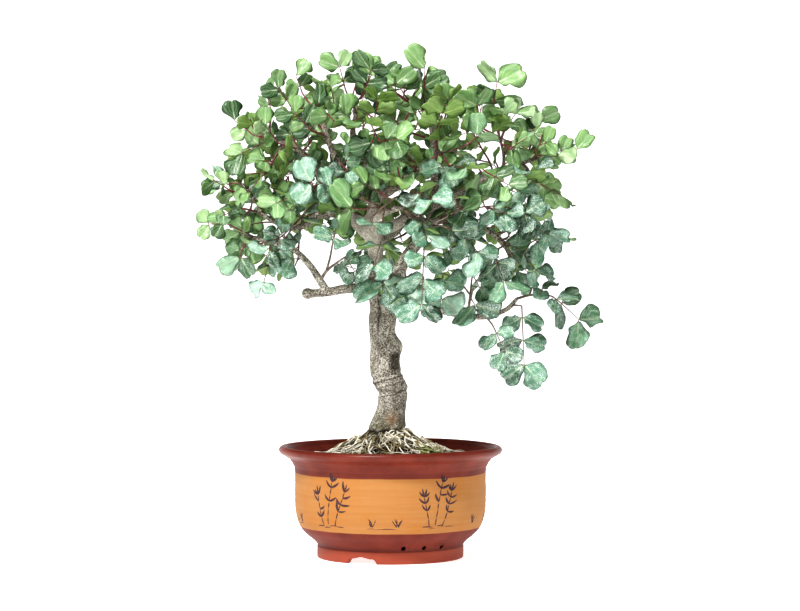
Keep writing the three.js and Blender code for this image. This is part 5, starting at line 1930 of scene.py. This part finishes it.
# %% Leaf and twig colours
u, v, tone_and_shade, age, under, red, is_blade = (
    foliage.attribute(name) for name in ("u", "v", "tone_and_shade", "age", "under", "red", "leaf")
)
across = abs(v)
midrib = (1 - across.ramp(0.02, 0.1)) * (1 - u.ramp(0.8, 1.0) * 0.6)
fan = ((u - across * 0.42) * 46).sin().ramp(0.7, 1.0) * (1 - across.ramp(0.7, 1.0) * 0.6)
patches = foliage.noise(95, 3, 0.6).ramp(0.35, 0.7)
flecks = foliage.noise(1150, 2, 0.75).ramp(0.5, 0.6)
cloud = foliage.noise(150, 3, 0.6).ramp(0.38, 0.64)
bloom = (0.12 + age.ramp(0.3, 0.9)) * (flecks * cloud * 0.8 + cloud * 0.09 + flecks * 0.12)


def greens(middle, dark, light):
    """A green for every leaflet, darker or paler by chance and darker by painted shade deep in the
    crown.
    """
    darker = foliage.mix(1 - tone_and_shade.ramp(0.0, 0.45), middle, dark)
    return foliage.mix(tone_and_shade.ramp(0.6, 1.0), darker, light)


fresh = greens("#83a766", "#34552a", "#acc595")
old = greens("#5f9075", "#1a4530", "#98baa7")
top = foliage.coated(
    foliage.mix(age.ramp(0.2, 0.8), fresh, old),
    (patches * 0.35, "#47764c"),
    (fan * 0.3, "#b9caaa"),
    (bloom, "#e2ede6"),
    (midrib * 0.75, "#cbd8b6"),
)
# Underside: its own plainer green, made livelier by painted light that stands in for light shining
# through the leaf.
underside_with_backlight = foliage.coated(
    foliage.mix(tone_and_shade, "#587530", "#8aa664"),
    (age * 0.4, "#6f8f56"),
    ((midrib * 0.5).most(fan * 0.25), "#b9c97a"),
)
twig = foliage.mix(foliage.noise(300, 2).ramp(0.4, 0.7), "#54443a", "#8a7a6a")
twig = foliage.mix(red.ramp(0.3, 0.9), twig, "#7b343c")
foliage.set("Base Color", foliage.mix(is_blade, twig, foliage.mix(under, top, underside_with_backlight)))
foliage.set("Roughness", 0.3 + under * 0.22 + bloom * 0.35)
foliage.bump(fan * -0.4 + midrib * -0.7 + flecks * 0.12 + patches * 0.5, 0.0005, 0.7)
print("leaves painted")

# %% [markdown]
# ## Floor, light and camera
#
# The tree stands on a plain white floor that gives off a soft light of its own. The floor turns up
# all round in a wide curve, so that no edge of it shows from any side. One lamp at the front left
# makes the shadows, a large one above softens them, and a weak one at the right fills them. A
# contrast look keeps the darks of the crown deep in all that white. The camera stands 3.35 m away,
# a little above the rim, and looks slightly down.

# %% Floor
FLAT_RADIUS = 5.0
CURVE_RADIUS = 2.0
FLOOR_SIDES = 96
turns = [math.radians(angle) for angle in range(0, 91, 6)]
bend = [(FLAT_RADIUS + CURVE_RADIUS * math.sin(a), CURVE_RADIUS * (1 - math.cos(a))) for a in turns]
around = [2 * math.pi * k / FLOOR_SIDES for k in range(FLOOR_SIDES)]
corners = [(r * math.cos(a), r * math.sin(a), z) for r, z in bend for a in around]
# The rings are seen from inside, so their faces are turned over.
rings = [(a, d, c, b) for a, b, c, d in ring_faces(len(bend), FLOOR_SIDES)]
floor_mesh = bpy.data.meshes.new("floor")
floor_mesh.from_pydata(corners, [], [tuple(range(FLOOR_SIDES)), *rings])
floor_mesh.polygons.foreach_set("use_smooth", [True] * len(floor_mesh.polygons))
floor_paint = Paint("floor", roughness=0.9, specular=0.1)
floor_paint.set("Base Color", (0.9, 0.9, 0.9, 1))
floor_paint.set("Emission Color", (1, 1, 1, 1))
floor_paint.set("Emission Strength", 0.56)
painted(piece("floor", floor_mesh), floor_paint)
print("floor of", len(rings) + 1, "faces")

# %% Light and camera
LAMP_TARGET = (0, 0, 0.3)
CAMERA_PLACE = in_metres((10.7, -3350, 375))
CAMERA_TARGET = in_metres((10.7, 0, 281.3))
scene = bpy.context.scene


def aimed(name, data, place, target):
    thing = piece(name, data)
    thing.location = Vector(tuple(place))
    way = Vector(tuple(target)) - thing.location
    thing.rotation_euler = way.to_track_quat("-Z", "Y").to_euler()
    return thing


def lamp(name, place, size, power):
    light = bpy.data.lights.new(name, "AREA")
    light.shape = "RECTANGLE"
    light.size, light.size_y = size
    light.energy = power
    aimed(name, light, place, LAMP_TARGET)


lamp("key", (-1.0, -1.8, 2.4), (0.6, 0.5), 72)
lamp("fill", (1.9, -1.6, 1.3), (1.4, 1.4), 3)
lamp("top", (0.1, 0.2, 2.6), (1.2, 1.2), 28)
scene.world = bpy.data.worlds.new("studio")
scene.world.use_nodes = True
sky = scene.world.node_tree.nodes["Background"]
sky.inputs["Color"].default_value = (1.0, 1.0, 1.0, 1)
sky.inputs["Strength"].default_value = 0.12
scene.view_settings.view_transform = "Standard"
scene.view_settings.look = "High Contrast"

lens = bpy.data.cameras.new("camera")
lens.lens = 135.04
lens.sensor_width = 36
lens.sensor_fit = "HORIZONTAL"
camera = aimed("camera", lens, CAMERA_PLACE, CAMERA_TARGET)
bpy.context.scene.camera = camera
print("camera", tuple(round(v, 4) for v in camera.location))

# %% [markdown]
# ## Tidying up
#
# Meshes that no object uses any more are removed. The finished tree has to fill the same
# box as its solids.

# %% Remove unused meshes
for leftover in list(bpy.data.meshes):
    if leftover.users == 0:
        bpy.data.meshes.remove(leftover)
